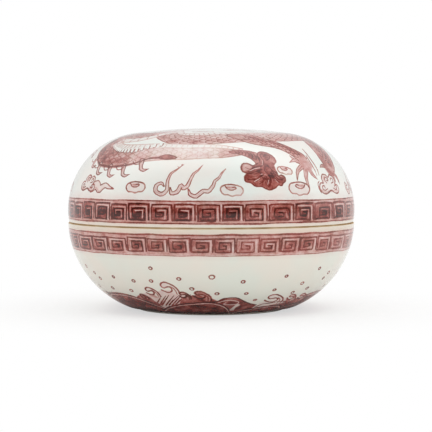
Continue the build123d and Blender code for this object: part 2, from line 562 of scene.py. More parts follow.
    def colour(self, points):
        """The looks of the mesh's points, from the marks in their order."""
        looks = {key: np.zeros(len(points)) for key in ("wash", "line", "tone", "bare")}
        looks["tone"] += 0.5
        order = np.argsort(points.real)
        reals = points.real[order]
        for paint, shape, reach, values in self.marks:
            ends = np.searchsorted(reals, [shape.real.min() - reach, shape.real.max() + reach])
            found = order[ends[0] : ends[1]]
            height = points.imag[found]
            found = found[(height > shape.imag.min() - reach) & (height < shape.imag.max() + reach)]
            if len(found):
                paint(looks, found, points[found], shape, *values)
        return looks

    def mesh(self, name):
        """The painted surface as a mesh: edges of the drawing, filled up with even rows of points."""
        surface = self.surface
        points, edges = list(self.points), list(self.edges)
        for along in surface.ends:
            ring = surface.flat([(360 * i / turned_sides, along) for i in range(turned_sides)])
            first = len(points)
            points += [(p.real, p.imag) for p in ring]
            edges += [(first + i, first + (i + 1) % turned_sides) for i in range(turned_sides)]
        rows = int((surface.way[-1] - surface.way[0]) / self.spacing)
        for row in range(0 if surface.domed else 1, rows):
            along = surface.way[0] + (surface.way[-1] - surface.way[0]) * row / rows
            count = max(1, round(2 * math.pi * surface.at(along, surface.radii) / self.spacing))
            turns = [360 * (i + row % 2 / 2) / count for i in range(count)]
            points += [(p.real, p.imag) for p in surface.flat([(t, along) for t in turns])]
        found = delaunay_2d_cdt([Vector(p) for p in points], edges, [], 0, self.merged, False)
        flat = np.array([complex(p.x, p.y) for p in found[0]])
        faces = np.array(found[2])
        low, high = surface.reach.min(), surface.reach.max()
        if not surface.domed:
            hole = (np.abs(flat[faces]) < low * 1.0001).all(axis=1)
            faces = faces[~hole][:, ::-1]
        where, out = surface.lifted(flat)
        mesh = bpy.data.meshes.new(name)
        mesh.from_pydata((where * MM).tolist(), [], faces.tolist())
        for key, values in self.colour(flat).items():
            mesh.attributes.new(key, "FLOAT", "POINT").data.foreach_set("value", values)
        kept = mesh.attributes.new("facing", "FLOAT_VECTOR", "POINT")
        kept.data.foreach_set("vector", out.ravel())
        piece = bpy.data.objects.new(name, mesh)
        bpy.context.scene.collection.objects.link(piece)
        return piece


def closed_up(piece):
    """Merges the points that meet, turns all faces outwards, and smooths all but the sharp edges."""
    bpy.context.view_layer.objects.active = piece
    bpy.ops.object.mode_set(mode="EDIT")
    bpy.ops.mesh.select_all(action="SELECT")
    bpy.ops.mesh.remove_doubles(threshold=weld_reach)
    bpy.ops.mesh.normals_make_consistent(inside=False)
    bpy.ops.object.mode_set(mode="OBJECT")
    bpy.ops.object.shade_smooth_by_angle(angle=smooth_angle)


def welded(skin, surface, shells, name):
    """Joins a painted face to the spun rest of its piece, as one closed shell with an even gloss."""
    for shell in shells:
        facing = np.zeros((len(shell.data.vertices), 3))
        co = np.array([v.co for v in shell.data.vertices])
        reach = np.hypot(co[:, 0], co[:, 1])
        for along in surface.ends:
            off_radius = reach - surface.at(along, surface.radii) * MM
            off_height = co[:, 2] - surface.at(along, surface.heights) * MM
            on_ring = (np.abs(off_radius) < weld_reach) & (np.abs(off_height) < weld_reach)
            outwards = co[on_ring, :2] / reach[on_ring, None]
            facing[on_ring, :2] = outwards * surface.at(along, surface.out_r)
            facing[on_ring, 2] = surface.at(along, surface.out_z)
        kept = shell.data.attributes.new("facing", "FLOAT_VECTOR", "POINT")
        kept.data.foreach_set("vector", facing.ravel())
    bpy.ops.object.select_all(action="DESELECT")
    for part in (skin, *shells):
        part.select_set(True)
    bpy.context.view_layer.objects.active = skin
    bpy.ops.object.join()
    closed_up(skin)
    mesh = skin.data
    facing = np.zeros(len(mesh.vertices) * 3)
    mesh.attributes["facing"].data.foreach_get("vector", facing)
    mesh.normals_split_custom_set_from_vertices(facing.reshape(-1, 3).tolist())
    mesh.attributes.remove(mesh.attributes["facing"])
    skin.name = mesh.name = name
    return skin


def wear(piece, *finishes):
    """Gives a piece its materials. Each after the first comes with a test of a face's radius and height."""
    for finish in finishes:
        piece.data.materials.append(finish[0] if isinstance(finish, tuple) else finish)
    for face in piece.data.polygons:
        r, z = math.hypot(face.center.x, face.center.y) / MM, face.center.z / MM
        for i, finish in enumerate(finishes):
            if isinstance(finish, tuple) and finish[1](r, z):
                face.material_index = i


def mottle(add, size, detail=2.0):
    """Cloudy noise whose lumps are about size millimetres across, from 0 to 1 about a half."""
    inputs = {"Vector": add("TexCoord")["Object"], "Scale": 1 / (size * MM), "Detail": detail}
    return add("TexNoise", inputs)["Fac"]


def painted_porcelain(name, clay):
    """Glazed porcelain with underglaze copper red: white, a little green where the clear glaze is thick,
    with rose washes that cloud and pool, and darker lines that turn liver brown where they are thin.
    The glaze is smooth and glassy, with the faint swell of a dipped coat.
    """
    material = bpy.data.materials.new(name)
    add = emptied(material)
    drawn = {k: add("Attribute", attribute_name=k)["Fac"] for k in ("wash", "line", "tone", "bare")}

    # Painted and scraped lines, whose edges shake with the grain of the clay. The least of that and of
    # three times what is drawn keeps the shake from making a line where there is none
    shake = add("Math", {0: mottle(add, 0.8), 1: 0.5, 2: -0.25}, operation="MULTIPLY_ADD")[0]
    shown = {}
    for key in ("line", "bare"):
        shaken = add("Math", {0: drawn[key], 1: shake}, operation="ADD")[0]
        most = add("Math", {0: drawn[key], 1: 3.0}, operation="MULTIPLY")[0]
        shaken = add("Math", {0: shaken, 1: most}, operation="MINIMUM")[0]
        shown[key] = add("MapRange", {0: shaken, 1: 0.36, 2: 0.62}, interpolation_type="SMOOTHSTEP")[0]
    broken = add("MapRange", {0: mottle(add, 1.7), 1: 0.3, 2: 0.6, 3: 0.65, 4: 1.05})[0]
    ink = add("Math", {0: shown["line"], 1: drawn["tone"]}, operation="MULTIPLY")[0]
    ink = add("Math", {0: ink, 1: broken}, operation="MULTIPLY")[0]

    # Washes that pool, scraped away along the bare lines and mostly hidden under the ink
    pooled = add("MapRange", {0: mottle(add, 2.6, 3.0), 1: 0.3, 2: 0.7, 3: 0.62, 4: 1.3})[0]
    grain = add("MapRange", {0: mottle(add, 0.5), 1: 0.3, 2: 0.7, 3: 0.85, 4: 1.15})[0]
    left = add("Math", {0: shown["bare"], 1: -0.72, 2: 1.0}, operation="MULTIPLY_ADD")[0]
    through = add("Math", {0: ink, 1: -0.6, 2: 1.0}, operation="MULTIPLY_ADD")[0]
    wash = drawn["wash"]
    for share in (pooled, grain, left, through):
        wash = add("Math", {0: wash, 1: share}, operation="MULTIPLY")[0]
    depth = add("Math", {0: ink, 1: wash}, operation="ADD", use_clamp=True)[0]

    # The red by its depth, rosy, and liver brown in patches of the lines
    places = (0, 0.12, 0.27, 0.46, 0.7, 1)
    rosy = zip(places, (clay, "#e6cccb", "#d4a3a0", "#b66b64", "#8c3a34", "#4c1610"))
    livery = zip(places, (clay, "#dccbc0", "#c2a293", "#9a6a5a", "#723c30", "#36150f"))
    patches = add("MapRange", {0: mottle(add, 4.5), 1: 0.4, 2: 0.66, 3: 0.15, 4: 0.8})[0]
    thin_ink = add("Math", {0: shown["line"], 1: 0.7, 2: 0.3}, operation="MULTIPLY_ADD")[0]
    browning = add("Math", {0: patches, 1: thin_ink}, operation="MULTIPLY")[0]
    reds = {6: add("ValToRGB", {0: depth}, list(rosy))[0], 7: add("ValToRGB", {0: depth}, list(livery))[0]}
    red = add("Mix", {0: browning, **reds}, data_type="RGBA")[2]

    # The clear glaze over it: greenish where thick, and thin and warm along the wiped rims at the joint
    thick = add("MapRange", {0: mottle(add, 14.0), 1: 0.35, 2: 0.65})[0]
    tint = add("Mix", {0: thick, 6: srgb("#fffcf7"), 7: srgb("#f8fffb")}, data_type="RGBA")[2]
    colour = add("Mix", {0: 1.0, 6: red, 7: tint}, data_type="RGBA", blend_type="MULTIPLY")[2]
    up = add("SeparateXYZ", {"Vector": add("TexCoord")["Object"]})["Z"]
    apart = add("Math", {0: up, 1: joint_height * MM}, operation="SUBTRACT")[0]
    apart = add("Math", {0: apart}, operation="ABSOLUTE")[0]
    thin = {0: apart, 1: 1.4 * MM, 2: 2.8 * MM, 3: 0.75, 4: 0.0}
    thin = add("MapRange", thin, interpolation_type="SMOOTHSTEP")[0]
    colour = {0: thin, 6: colour, 7: srgb("#f6e9df")}
    colour = add("Mix", colour, data_type="RGBA", blend_type="MULTIPLY")[2]
    swell = add("Bump", {"Height": mottle(add, 7.0, 1.0), "Strength": 0.6, "Distance": 0.05 * MM})[0]
    glaze = {"Base Color": colour, "Normal": swell, "Roughness": 0.09, "IOR": 1.5}
    add("OutputMaterial", {"Surface": add("BsdfPrincipled", glaze)[0]})
    return material


def bare_clay(name):
    """Unglazed fired porcelain: matt cream, toasted ochre along the outer edge, where the kiln's air came,
    which is also painted shade for the joint between lid and bowl.
    Its grit is drawn coarser than the real one, so that it shows.
    """
    material = bpy.data.materials.new(name)
    add = emptied(material)
    patches = mottle(add, 6.0)
    cream = add("ValToRGB", {0: patches}, [(0.3, "#f0e8da"), (0.55, "#eadfcd"), (0.78, "#dfceb2")])[0]
    ochre = add("ValToRGB", {0: patches}, [(0.3, "#d6c2a2"), (0.5, "#c4a67c"), (0.72, "#ab8859")])[0]
    level = add("VectorMath", {0: add("TexCoord")["Object"], 1: (1, 1, 0)}, operation="MULTIPLY")[0]
    reach = add("VectorMath", {0: level}, operation="LENGTH")["Value"]
    # The ochre at the outer edge is partly toasted clay and partly painted shade, so that the joint between
    # lid and bowl reads dark
    outer = {0: reach, 1: (box_radius - 1.6) * MM, 2: (box_radius - 0.2) * MM}
    outer = add("MapRange", outer, interpolation_type="SMOOTHSTEP")[0]
    toast_and_joint_shade = add("Mix", {0: outer, 6: cream, 7: ochre}, data_type="RGBA")[2]
    grit = add("Bump", {"Height": mottle(add, 0.25), "Strength": 0.4, "Distance": 0.02 * MM})[0]
    clay = {"Base Color": toast_and_joint_shade, "Normal": grit, "Roughness": 0.7, "IOR": 1.5}
    add("OutputMaterial", {"Surface": add("BsdfPrincipled", clay)[0]})
    return material


shoulder_centre = (box_radius - shoulder_radius, joint_height + shoulder_level)
crown_drop = math.sqrt((crown_radius - shoulder_radius) ** 2 - shoulder_centre[0] ** 2)
crown_centre = (0.0, shoulder_centre[1] - crown_drop)
join_angle = math.degrees(math.atan2(crown_drop, shoulder_centre[0]))
rim_angle = math.degrees(math.asin(-shoulder_level / shoulder_radius))
bore_angle = math.degrees(math.asin(-shoulder_level / (shoulder_radius - lid_wall)))
crown_length = math.radians(90 - join_angle) * crown_radius
skin_angle = join_angle - math.degrees((lid_skin_end - crown_length) / shoulder_radius)
lid_face = Surface(
    arc(crown_centre, crown_radius, 90, join_angle, fine_step)
    + arc(shoulder_centre, shoulder_radius, join_angle, skin_angle, fine_step)[1:]
)
lid_paint = Painting(lid_face)


def border(painting, along, width, tone, seed):
    """A line drawn right round the box on a turning wheel, freehand."""
    draw = random.Random(seed)
    turns = range(0, 360, 6)
    waver = 0.12
    places = [(t, along + draw.uniform(-waver, waver)) for t in turns]
    widths = [width * draw.uniform(0.6, 1.25) for _ in turns]
    tones = [tone * draw.uniform(0.7, 1.1) for _ in turns]
    painting.stroke(places, widths + widths[:1], tones + tones[:1], closed=True)


def fret(painting, band, bounds, more, gap, width, tone, pool, pale, fades, seed):
    """A band of square spirals, each drawn in one go from its lower right corner in to its middle, over a
    pool of colour in which the way between the spiral's turns is wiped paler.

    The turns between the front ones are given as bounds, and more fill the rest of the way round. The
    colour thins towards the right by the share called fades, and thickens as much towards the left.
    """
    top, bottom = band
    draw = random.Random(seed)
    surface = painting.surface
    gap_turn = math.degrees(gap / surface.at((top + bottom) / 2, surface.radii))
    spiral = [(1, 1), (1, 0), (0, 0), (0, 1), (0.8, 1), (0.8, 0.26), (0.21, 0.26), (0.21, 0.75)]
    spiral += [(0.58, 0.75), (0.58, 0.51), (0.4, 0.51)]
    channel = [(0.9, 0.97), (0.9, 0.13), (0.1, 0.13), (0.1, 0.88), (0.69, 0.88), (0.69, 0.39)]
    channel += [(0.32, 0.39), (0.32, 0.63)]
    wiped = {"covers": True, "corners": True}
    widths = [draw.uniform(0.9, 1.1) for _ in range(more)]
    bounds = list(bounds)
    room = (360 + bounds[0] - bounds[-1]) / sum(widths)
    for share in widths:
        bounds.append(bounds[-1] + share * room)
    for start, end in zip(bounds, bounds[1:]):
        left, right = start + gap_turn / 2, end - gap_turn / 2
        high, low = (draw.uniform(-0.15, 0.15) for _ in range(2))

        def spot(u, v):
            wobble_u, wobble_v = draw.uniform(-0.025, 0.025), draw.uniform(-0.03, 0.03)
            turn = left + (u + wobble_u) * (right - left)
            return turn, top + high + (v + wobble_v) * (bottom + low - top - high)

        full = 1 - fades * math.sin(math.radians((start + end) / 2))
        depth = pool * draw.uniform(0.8, 1.12) * full
        block = [spot(0, 0), spot(1, 0), spot(1, 1), spot(0, 1)]
        painting.fill(block, depth * 0.8, 0.4, covers=False, corners=True)
        corner = [spot(0.12, 0.2), spot(0.1, 0.86), spot(0.7, 0.9)]
        painting.brush(corner, 1.2, depth * draw.uniform(0.9, 1.25), 0.4)
        painting.brush([spot(0.3, 0.52), spot(0.7, 0.54)], 2.3, depth * draw.uniform(1.0, 1.3))
        outer = [spot(u, v) for u, v in channel[: draw.choice((2, 2, 3, 3, 4))]]
        painting.brush(outer, (0.75, 0.75, 0.55), pale * draw.uniform(0.7, 1.3), 0.3, **wiped)
        if draw.random() < 0.7:
            inner = [spot(u, v) for u, v in channel[4 : draw.choice((7, 8))]]
            breadth = 0.5 * draw.uniform(0.8, 1.2)
            painting.brush(inner, breadth, pale * draw.uniform(0.8, 1.6), 0.25, **wiped)
        line = [spot(u, v) for u, v in spiral]
        weight = width * draw.uniform(0.85, 1.15)
        painting.stroke(line, weight, tone * draw.uniform(0.85, 1.05) * full, corners=True)


# The dragon winds round the dome: its head in the middle with the pearl before its mouth, its body round
# the back and the right, doubled back on itself at the front left, and its tail at the front.
def on_top(*points):
    """Places of points on the lid seen from above, in millimetres right and back from its middle."""
    return [(math.degrees(math.atan2(x, -y)), math.hypot(x, y)) for x, y in points]


def oval(middle, across, up, count, start=0):
    """Points round an oval of a half width and a half height."""
    turns = np.radians(start + 360 / count * np.arange(count))
    return [(middle[0] + across * math.cos(a), middle[1] + up * math.sin(a)) for a in turns]


class Coil:
    """A stretch of the dragon's body. A spot on it is (along, across): millimetres from its start, and
    shares of its half width, 1 at the dragon's back and -1 at its belly.
    """

    def __init__(self, spine, halves, back):
        self.line = smooth_line(np.array([complex(*p) for p in spine]))
        self.way = np.r_[0, np.cumsum(np.abs(np.diff(self.line)))]
        ahead = np.gradient(self.line)
        self.side = back * 1j * ahead / np.abs(ahead)
        self.halves = np.interp(self.way / self.way[-1], np.linspace(0, 1, len(halves)), halves)
        self.length = self.way[-1]

    def half(self, along):
        """Its half width at a distance along."""
        return float(np.interp(along, self.way, self.halves))

    def read(self, along, values):
        """The value at a distance along, from values evenly spaced over the stretch."""
        return float(np.interp(along / self.length, np.linspace(0, 1, len(values)), values))

    def spot(self, along, across, out=0.0):
        """A spot's place. out is millimetres further out across."""
        here, side = np.interp(along, self.way, self.line), np.interp(along, self.way, self.side)
        here = here + side * (across * self.half(along) + out)
        return on_top((here.real, here.imag))[0]


def dragon_body(painting, coil, depths, tones, fins, belly, seed):
    """Paints a stretch of body: washed flesh, pale belly plates, scales in staggered rows, and fins along
    a share of its back.
    """
    draw = random.Random(seed)
    sections = max(2, round(coil.length / 7))
    ends = np.linspace(0, coil.length, sections + 1)
    for start, end in zip(ends, ends[1:]):
        rows = np.linspace(max(0, start - 0.3), end, 5)
        depth = coil.read((start + end) / 2, depths)
        flesh = [coil.spot(a, -belly) for a in rows] + [coil.spot(a, 1) for a in rows[::-1]]
        under = [coil.spot(a, -1) for a in rows] + [coil.spot(a, -belly) for a in rows[::-1]]
        painting.fill(under, 0.05, 0.25, corners=True)
        painting.fill(flesh, depth, 0.25, corners=True)
        painting.brush([coil.spot(a, 0.62) for a in rows], coil.half(start) * 0.8, depth * 1.35, 0.9)
    scale_length = 1.9
    along = scale_length
    row = 0
    while along < coil.length - 0.6 * scale_length:
        tone = coil.read(along, tones)
        size = scale_length / 2 / coil.half(along)
        across = -belly + size * (1 if row % 2 else 2)
        while across < 1 - 0.3 * size:
            scale = [(-0.2, -size), (0.75, -0.6 * size), (1.05, 0), (0.75, 0.6 * size), (-0.2, size)]
            shape = [coil.spot(along + a, min(across + q, 1)) for a, q in scale]
            painting.stroke(shape, 0.32 * draw.uniform(0.8, 1.2), tone * draw.uniform(0.75, 1.1))
            across += 2 * size
        along += scale_length * 0.86
        row += 1
    rows = np.linspace(0, coil.length, sections * 2 + 1)
    fades = [max(coil.read(a, tones), 0.2) for a in rows]
    for across, width, strength in ((1, 0.4, 1.15), (-1, 0.42, 0.95), (-belly, 0.38, 0.9)):
        painting.stroke([coil.spot(a, across) for a in rows], width, [t * strength for t in fades])
    along = 0.8
    while along < coil.length:
        tone = coil.read(along, tones)
        plate = [coil.spot(along, -belly), coil.spot(along + 0.35, -0.75), coil.spot(along + 0.2, -1)]
        painting.stroke(plate, 0.34, tone * draw.uniform(0.7, 1.0))
        along += scale_length * draw.uniform(0.9, 1.1)
    fin = [(-1.6, 0), (-0.6, 1.1), (0.7, 2.5), (2.2, 3.0), (1.2, 1.7), (1.4, 0)]
    along = 2.0
    while along < fins * coil.length - 2.5:
        shape = [coil.spot(along + a, 1, out) for a, out in fin]
        painting.fill(shape, 0.3, covers=False)
        painting.stroke(shape, 0.4, coil.read(along, tones))
        along += 4.6 * draw.uniform(0.9, 1.12)


def licks(painting, places_of, tips, root, width, depth, tone, bow=0.18):
    """Flame-like locks from one root to several tips, each bowed a little to one side."""
    for x, y in tips:
        away = complex(x - root[0], y - root[1])
        side = away * 1j * bow
        middle = (root[0] + 0.5 * away.real + side.real, root[1] + 0.5 * away.imag + side.imag)
        near = (root[0] + 0.85 * away.real + 0.8 * side.real, root[1] + 0.85 * away.imag + 0.8 * side.imag)
        lock = places_of(root, middle, near, (x, y))
        painting.ribbon(lock, (width, width * 0.85, width * 0.45, 0.1), depth, tone)


def dragon_leg(painting, points, widths, paw, claws, depth, tone, seed):
    """A leg along points seen from above, scaled like the body, with a paw and long claws."""
    draw = random.Random(seed)
    paw_spot = complex(*paw)
    for tip in claws:
        away = complex(*tip) - paw_spot
        side = away * 1j * draw.choice((-0.2, -0.14, 0.14, 0.2))
        near, bend = paw_spot + 0.3 * away + 0.6 * side, paw_spot + 0.65 * away + side
        claw = on_top(paw, (near.real, near.imag), (bend.real, bend.imag), tip)
        painting.ribbon(claw, (1.9, 1.6, 1.0, 0.12), depth * 0.75, tone * 0.8, 0.3)
        painting.brush(claw[:3], (1.2, 0.8, 0.4), depth * 1.4)
    back = complex(*points[0]) - complex(*points[1])
    root = complex(*points[0]) + back / abs(back) * widths[0] * 0.4
    painting.ribbon(on_top((root.real, root.imag), *points), (widths[0] * 0.6, *widths), depth, tone, 0.42)
    painting.fill(on_top(*oval(paw, 2.6, 2.6, 6)), depth * 1.1, 0.8)
    limb = Coil(points, [w / 2 for w in widths], 1)
    middle = [limb.spot(a, 0.4) for a in np.linspace(0, limb.length, 5)]
    painting.brush(middle, widths[0] * 0.4, depth * 1.5, 0.8)
    along = 0.5
    row = 0
    while along < limb.length - 0.5:
        size = 0.8 / limb.half(along)
        for across in (-size, size) if row % 2 else (-2 * size, 0, 2 * size):
            if abs(across) > 0.95:
                continue
            scale = [(-0.2, -size), (0.8, 0), (-0.2, size)]
            places = [limb.spot(along + a, float(np.clip(across + q, -0.95, 0.95))) for a, q in scale]
            painting.stroke(places, 0.33, tone * draw.uniform(0.7, 1.0))
        along += 1.35
        row += 1


def above(x, y, size=1.0, lean=0.0):
    """Gives the places of shapes drawn upright, (right, up), about a point of the lid seen from above."""
    tilt = size * cmath.exp(1j * math.radians(lean))

    def places(shape):
        drawn = [complex(a, b) * tilt for a, b in shape]
        return on_top(*[(x + d.real, y + d.imag) for d in drawn])

    return places


def ruyi_cloud(painting, about, size=1.0, tail=True, tone=0.62):
    """A mushroom-shaped cloud with curled lobes, and a wavy tail that trails off to one side."""
    if tail:
        waves = [(3.0, -0.7), (5.2, 0.3), (7.2, -0.9), (9.4, 0.4), (11.4, -0.2), (13.6, -0.5)]
        painting.ribbon(about(waves), [w * size for w in (3.0, 2.8, 2.3, 1.7, 1.0, 0.1)], 0.09, tone)
        under = [(3.4, -1.4), (5.3, -0.6), (7.2, -1.7), (9.4, -0.2)]
        painting.brush(about(under), 0.8 * size, 0.24)
    outline = [(-1.2, -1.6), (-2.6, -1.9), (-4.0, -1.3), (-4.4, 0.0), (-3.5, 1.0), (-2.5, 0.9), (-2.6, 2.2)]
    outline += [(-1.5, 3.3), (-0.1, 3.1), (0.5, 2.4), (1.6, 3.1), (3.0, 2.5), (3.3, 1.2), (2.8, 0.6)]
    outline += [(4.0, 0.2), (4.2, -1.0), (3.2, -1.8), (1.6, -1.7), (0.2, -1.0)]
    painting.fill(about(outline), 0.05)
    hollow = [(-3.8, -0.9), (-2.4, -1.5), (-0.8, -1.2), (1.0, -1.2), (3.4, -1.2)]
    painting.brush(about(hollow), 0.9 * size, 0.26, 0.6)
    painting.brush(about([(-1.9, 1.3), (-1.4, 2.6), (0.2, 2.3)]), 0.9 * size, 0.2, 0.6)
    painting.stroke(about(outline), 0.42, tone, closed=True)
    for curl in (
        [(-1.3, -0.6), (-2.4, -1.0), (-3.3, -0.6), (-3.2, 0.1), (-2.4, 0.2), (-2.3, -0.4)],
        [(1.5, -0.5), (2.6, -0.9), (3.3, -0.4), (3.0, 0.3), (2.3, 0.1), (2.4, -0.4)],
        [(-1.0, 0.9), (-1.5, 1.9), (-0.7, 2.5), (0.1, 1.9), (-0.3, 1.4), (-0.8, 1.7)],
        [(1.1, 0.8), (2.3, 1.1), (2.4, 2.0), (1.6, 2.2), (1.3, 1.6)],
    ):
        painting.stroke(about(curl), 0.36, tone)


def small_cloud(painting, about, size=1.0, tone=0.6):
    """A low oval cloud with one curl at its crown."""
    outline = [(-3.3, -0.1), (-2.9, 1.1), (-1.2, 1.7), (1.0, 1.6), (2.8, 1.0), (3.3, -0.3), (2.5, -1.4)]
    outline += [(1.3, -1.4), (0.2, -1.8), (-1.0, -1.4), (-2.4, -1.3)]
    painting.fill(about(outline), 0.06)
    painting.brush(about([(-1.6, 0.8), (-0.5, 0.7), (0.6, 0.9)]), 1.2 * size, 0.34, 0.6)
    painting.stroke(about(outline), 0.42, (tone, tone * 1.1, tone * 0.7, tone * 0.5, tone), closed=True)
    curl = [(-1.9, 1.1), (-1.2, 0.2), (0.2, 0.0), (1.2, 0.5), (0.9, 1.0), (0.2, 0.8)]
    painting.stroke(about(curl), 0.36, tone * 0.9)


def scroll_cloud(painting, about, size=1.0, tone=0.6):
    """A drawn-out cloud of three hooks, each rising into a long thin tendril."""
    hook = [(-0.6, 0.9), (-1.9, 1.5), (-2.6, -0.2), (-0.6, -1.8), (1.7, -0.6), (2.5, 1.8), (4.2, 4.0)]
    hook += [(5.6, 6.2)]
    widths = [w * size for w in (0.7, 1.3, 1.5, 1.5, 1.3, 1.1, 0.6, 0.1)]
    for i in range(3):
        shape = [(x + (i - 1.5) * 6.2, y - 0.3 * i) for x, y in hook]
        painting.ribbon(about(shape), widths, 0.12, tone, 0.36)
        painting.brush(about(shape[2:5]), 0.6 * size, 0.28, 0.4)


tail_spine = [(-12, -17), (-17.5, -20.8), (-22.6, -19.2), (-25.2, -15.2), (-29.4, -14.2), (-32.6, -17.8)]
tail_spine += [(-32.2, -23), (-28.6, -28.2), (-22.6, -32.3), (-15.5, -35.5), (-8, -37.9), (0, -38.5)]
tail_spine += [(6, -38.3), (10, -37.6)]
body_spine = [(-1, 3.5), (-7, 5.5), (-14, 10), (-20, 18), (-14, 27), (-1, 30.5), (12, 29.5), (22.5, 22)]
body_spine += [(28.5, 10), (28.5, -2), (25.5, -12), (19, -21.5), (9, -27.6), (0, -30.3), (-7, -30.2)]
body_spine += [(-11.8, -27.2), (-12.8, -21), (-12.6, -15)]

# Hind legs and far foreleg, behind the body
dragon_leg(
    lid_paint,
    points=[(28, -8), (34.8, -15.0), (38.8, -20.6)],
    widths=(8.4, 9.4, 7.2),
    paw=(39.8, -23.2),
    claws=[(36.4, -27.4), (40.6, -29.4), (44.0, -27.0), (46.2, -22.8)],
    depth=0.42,
    tone=0.6,
    seed=21,
)
dragon_leg(
    lid_paint,
    points=[(-20, 20), (-29, 27), (-35, 24)],
    widths=(6.0, 4.6, 3.0),
    paw=(-36, 23),
    claws=[(-43, 24.5), (-44, 18), (-39, 14.5), (-34, 15.5)],
    depth=0.38,
    tone=0.6,
    seed=22,
)
dragon_leg(
    lid_paint,
    points=[(-4, 29), (-9, 38), (-1, 42)],
    widths=(6.0, 4.6, 3.0),
    paw=(0.5, 42.5),
    claws=[(5, 48), (9, 44.5), (8.5, 39), (-2, 49)],
    depth=0.38,
    tone=0.6,
    seed=23,
)
body = Coil(body_spine, (3.2, 3.4, 3.8, 4.2, 4.6, 4.8, 5.0, 5.0, 4.8, 4.7, 4.6, 4.7, 4.4, 4.0), 1)
body_depths = (0.36, 0.4, 0.38, 0.4, 0.36, 0.34, 0.3, 0.16, 0.24, 0.3)
body_tones = (0.66, 0.66, 0.6, 0.5, 0.34, 0.36)
dragon_body(lid_paint, body, body_depths, body_tones, fins=0.6, belly=0.5, seed=31)
licks(lid_paint, on_top, [(36, 3), (37, 8), (35, 12.5)], (30.5, 4), 2.2, 0.36, 0.6)
licks(lid_paint, on_top, [(-22, 34), (-15, 37.5)], (-15, 28), 2.2, 0.36, 0.6)
tail = Coil(tail_spine, (4.4, 4.4, 4.6, 4.8, 4.9, 4.8, 4.6, 4.4, 4.0, 3.7, 3.5, 3.3, 2.9, 1.2), -1)
# The tail is palest along its middle stretch on the shoulder: partly the dragon's pale body, partly painted
# highlight where the overhead light's reflection falls
tail_depths = (0.3, 0.32, 0.38, 0.44, 0.46, 0.38, 0.26, 0.14, 0.1, 0.1, 0.12, 0.3)
tail_tones = (0.3, 0.32, 0.32, 0.28, 0.3, 0.3, 0.22, 0.1, 0.07, 0.07, 0.1, 0.4)
dragon_body(lid_paint, tail, tail_depths, tail_tones, fins=0, belly=0.42, seed=32)
dragon_leg(
    lid_paint,
    points=[(9.5, -28.6), (15.5, -29.7), (21.5, -29.2), (29.0, -29.8)],
    widths=(7.0, 4.4, 3.6, 4.6),
    paw=(31.0, -31.4),
    claws=[(25.0, -32.2), (25.4, -35.4), (29.4, -40.2), (35.0, -39.4), (36.8, -33.4)],
    depth=0.33,
    tone=0.5,
    seed=24,
)

# Two loose hairs between the hind leg and the foreleg
for hair in (
    [(29.0, -24.2), (31.6, -26.6), (33.6, -28.2), (35.6, -29.6), (36.8, -31.2)],
    [(30.6, -27.0), (32.6, -29.2), (34.4, -30.6), (36.0, -32.2)],
):
    lid_paint.stroke(on_top(*hair), (0.4, 0.5, 0.45, 0.25), 0.5)

# The back fin along the tail's lower edge, with its hooks, and the tuft that the tail ends in
fin_edge = [(-66, 40.6), (-61, 42.9), (-56, 44.6), (-49, 45.2), (-43, 45.0), (-37, 44.4), (-32.5, 43.2)]
fin_edge += [(-27.6, 41.8), (-23, 41.6), (-18, 41.6)]
hook = [(-0.6, 0.6), (-0.2, -1.2), (0.2, -2.4), (1.4, -2.9), (2.9, -2.3)]
hooks = [(-63.0, 42.8, 0.9), (-55.4, 44.9, 1.0), (-47.0, 45.6, 1.0), (-38.9, 45.4, 1.0), (-30.6, 43.4, 1.0)]
for turn, along, size in hooks:
    about = lid_face.about(turn, along, size)
    lid_paint.ribbon(about(hook), [w * size for w in (1.7, 1.1, 0.95, 0.7, 0.1)], 0.22, 0.66, 0.32)
    lid_paint.stroke(about([(-3.8, 0.3), (-2.7, -0.8), (-1.3, -0.7), (-0.5, 0.2)]), 0.36, 0.6)
lid_paint.brush(fin_edge, (0.8, 1.0, 1.4, 1.6, 1.4, 1.2, 1.0, 1.6, 0.4), 0.56)
lid_paint.stroke(fin_edge, 0.4, 0.42)
leaf = [(-23.8, 41.4), (-21.0, 40.3), (-18.0, 40.5), (-15.2, 41.6), (-18.4, 42.3), (-21.6, 42.2)]
lid_paint.fill(leaf, 0.58, 0.4)
lid_paint.stroke(leaf, 0.34, 0.45, closed=True)
belly_edge = lid_face.flat([(-62, 35.2), (-54, 37.4), (-47, 38.5), (-38, 38.3), (-26, 35.4)])
belly_edge = lid_face.placed(smooth_line(belly_edge))
for turn, along in belly_edge[2::2]:
    plate = lid_face.about(turn, along, 1.0, 14)
    lid_paint.fill(plate([(-0.5, 0.9), (0.4, 0.9), (0.55, -0.4), (0.2, -1.0), (-0.35, -0.7)]), 0.02, 0.2)
    lid_paint.stroke(plate([(0.55, 0.6), (0.6, -0.4), (0.2, -1.05), (-0.35, -0.75)]), 0.3, 0.6)

tuft = lid_face.about(23.1, 46.1)
tail_end = [(-10.6, 7.4), (-8.4, 7.4), (-5.8, 6.9), (-3.0, 5.6), (-1.0, 3.4), (-0.4, 0.6)]
lid_paint.ribbon(tuft(tail_end), (0.9, 1.7, 2.8, 3.6, 4.4, 4.6), 0.54, 0.42, 0.3)
crest = [(-1.4, 3.2), (-1.7, 5.6), (-0.4, 7.4), (1.9, 7.2), (3.9, 5.4), (4.3, 3.2), (3.1, 1.9)]
locks = [(3.2, -0.6), (3.4, -2.1), (4.5, -1.8), (5.5, -2.5), (5.4, -3.8), (4.5, -4.4), (3.8, -5.2)]
locks += [(2.7, -5.0), (1.6, -5.9), (-0.4, -6.4), (-2.5, -5.4), (-4.4, -5.3), (-5.6, -4.3), (-7.2, -3.8)]
locks += [(-7.3, -2.2), (-6.5, -1.3), (-7.8, -0.5), (-8.0, 1.0), (-7.0, 2.4), (-5.4, 2.3), (-4.0, 1.5)]
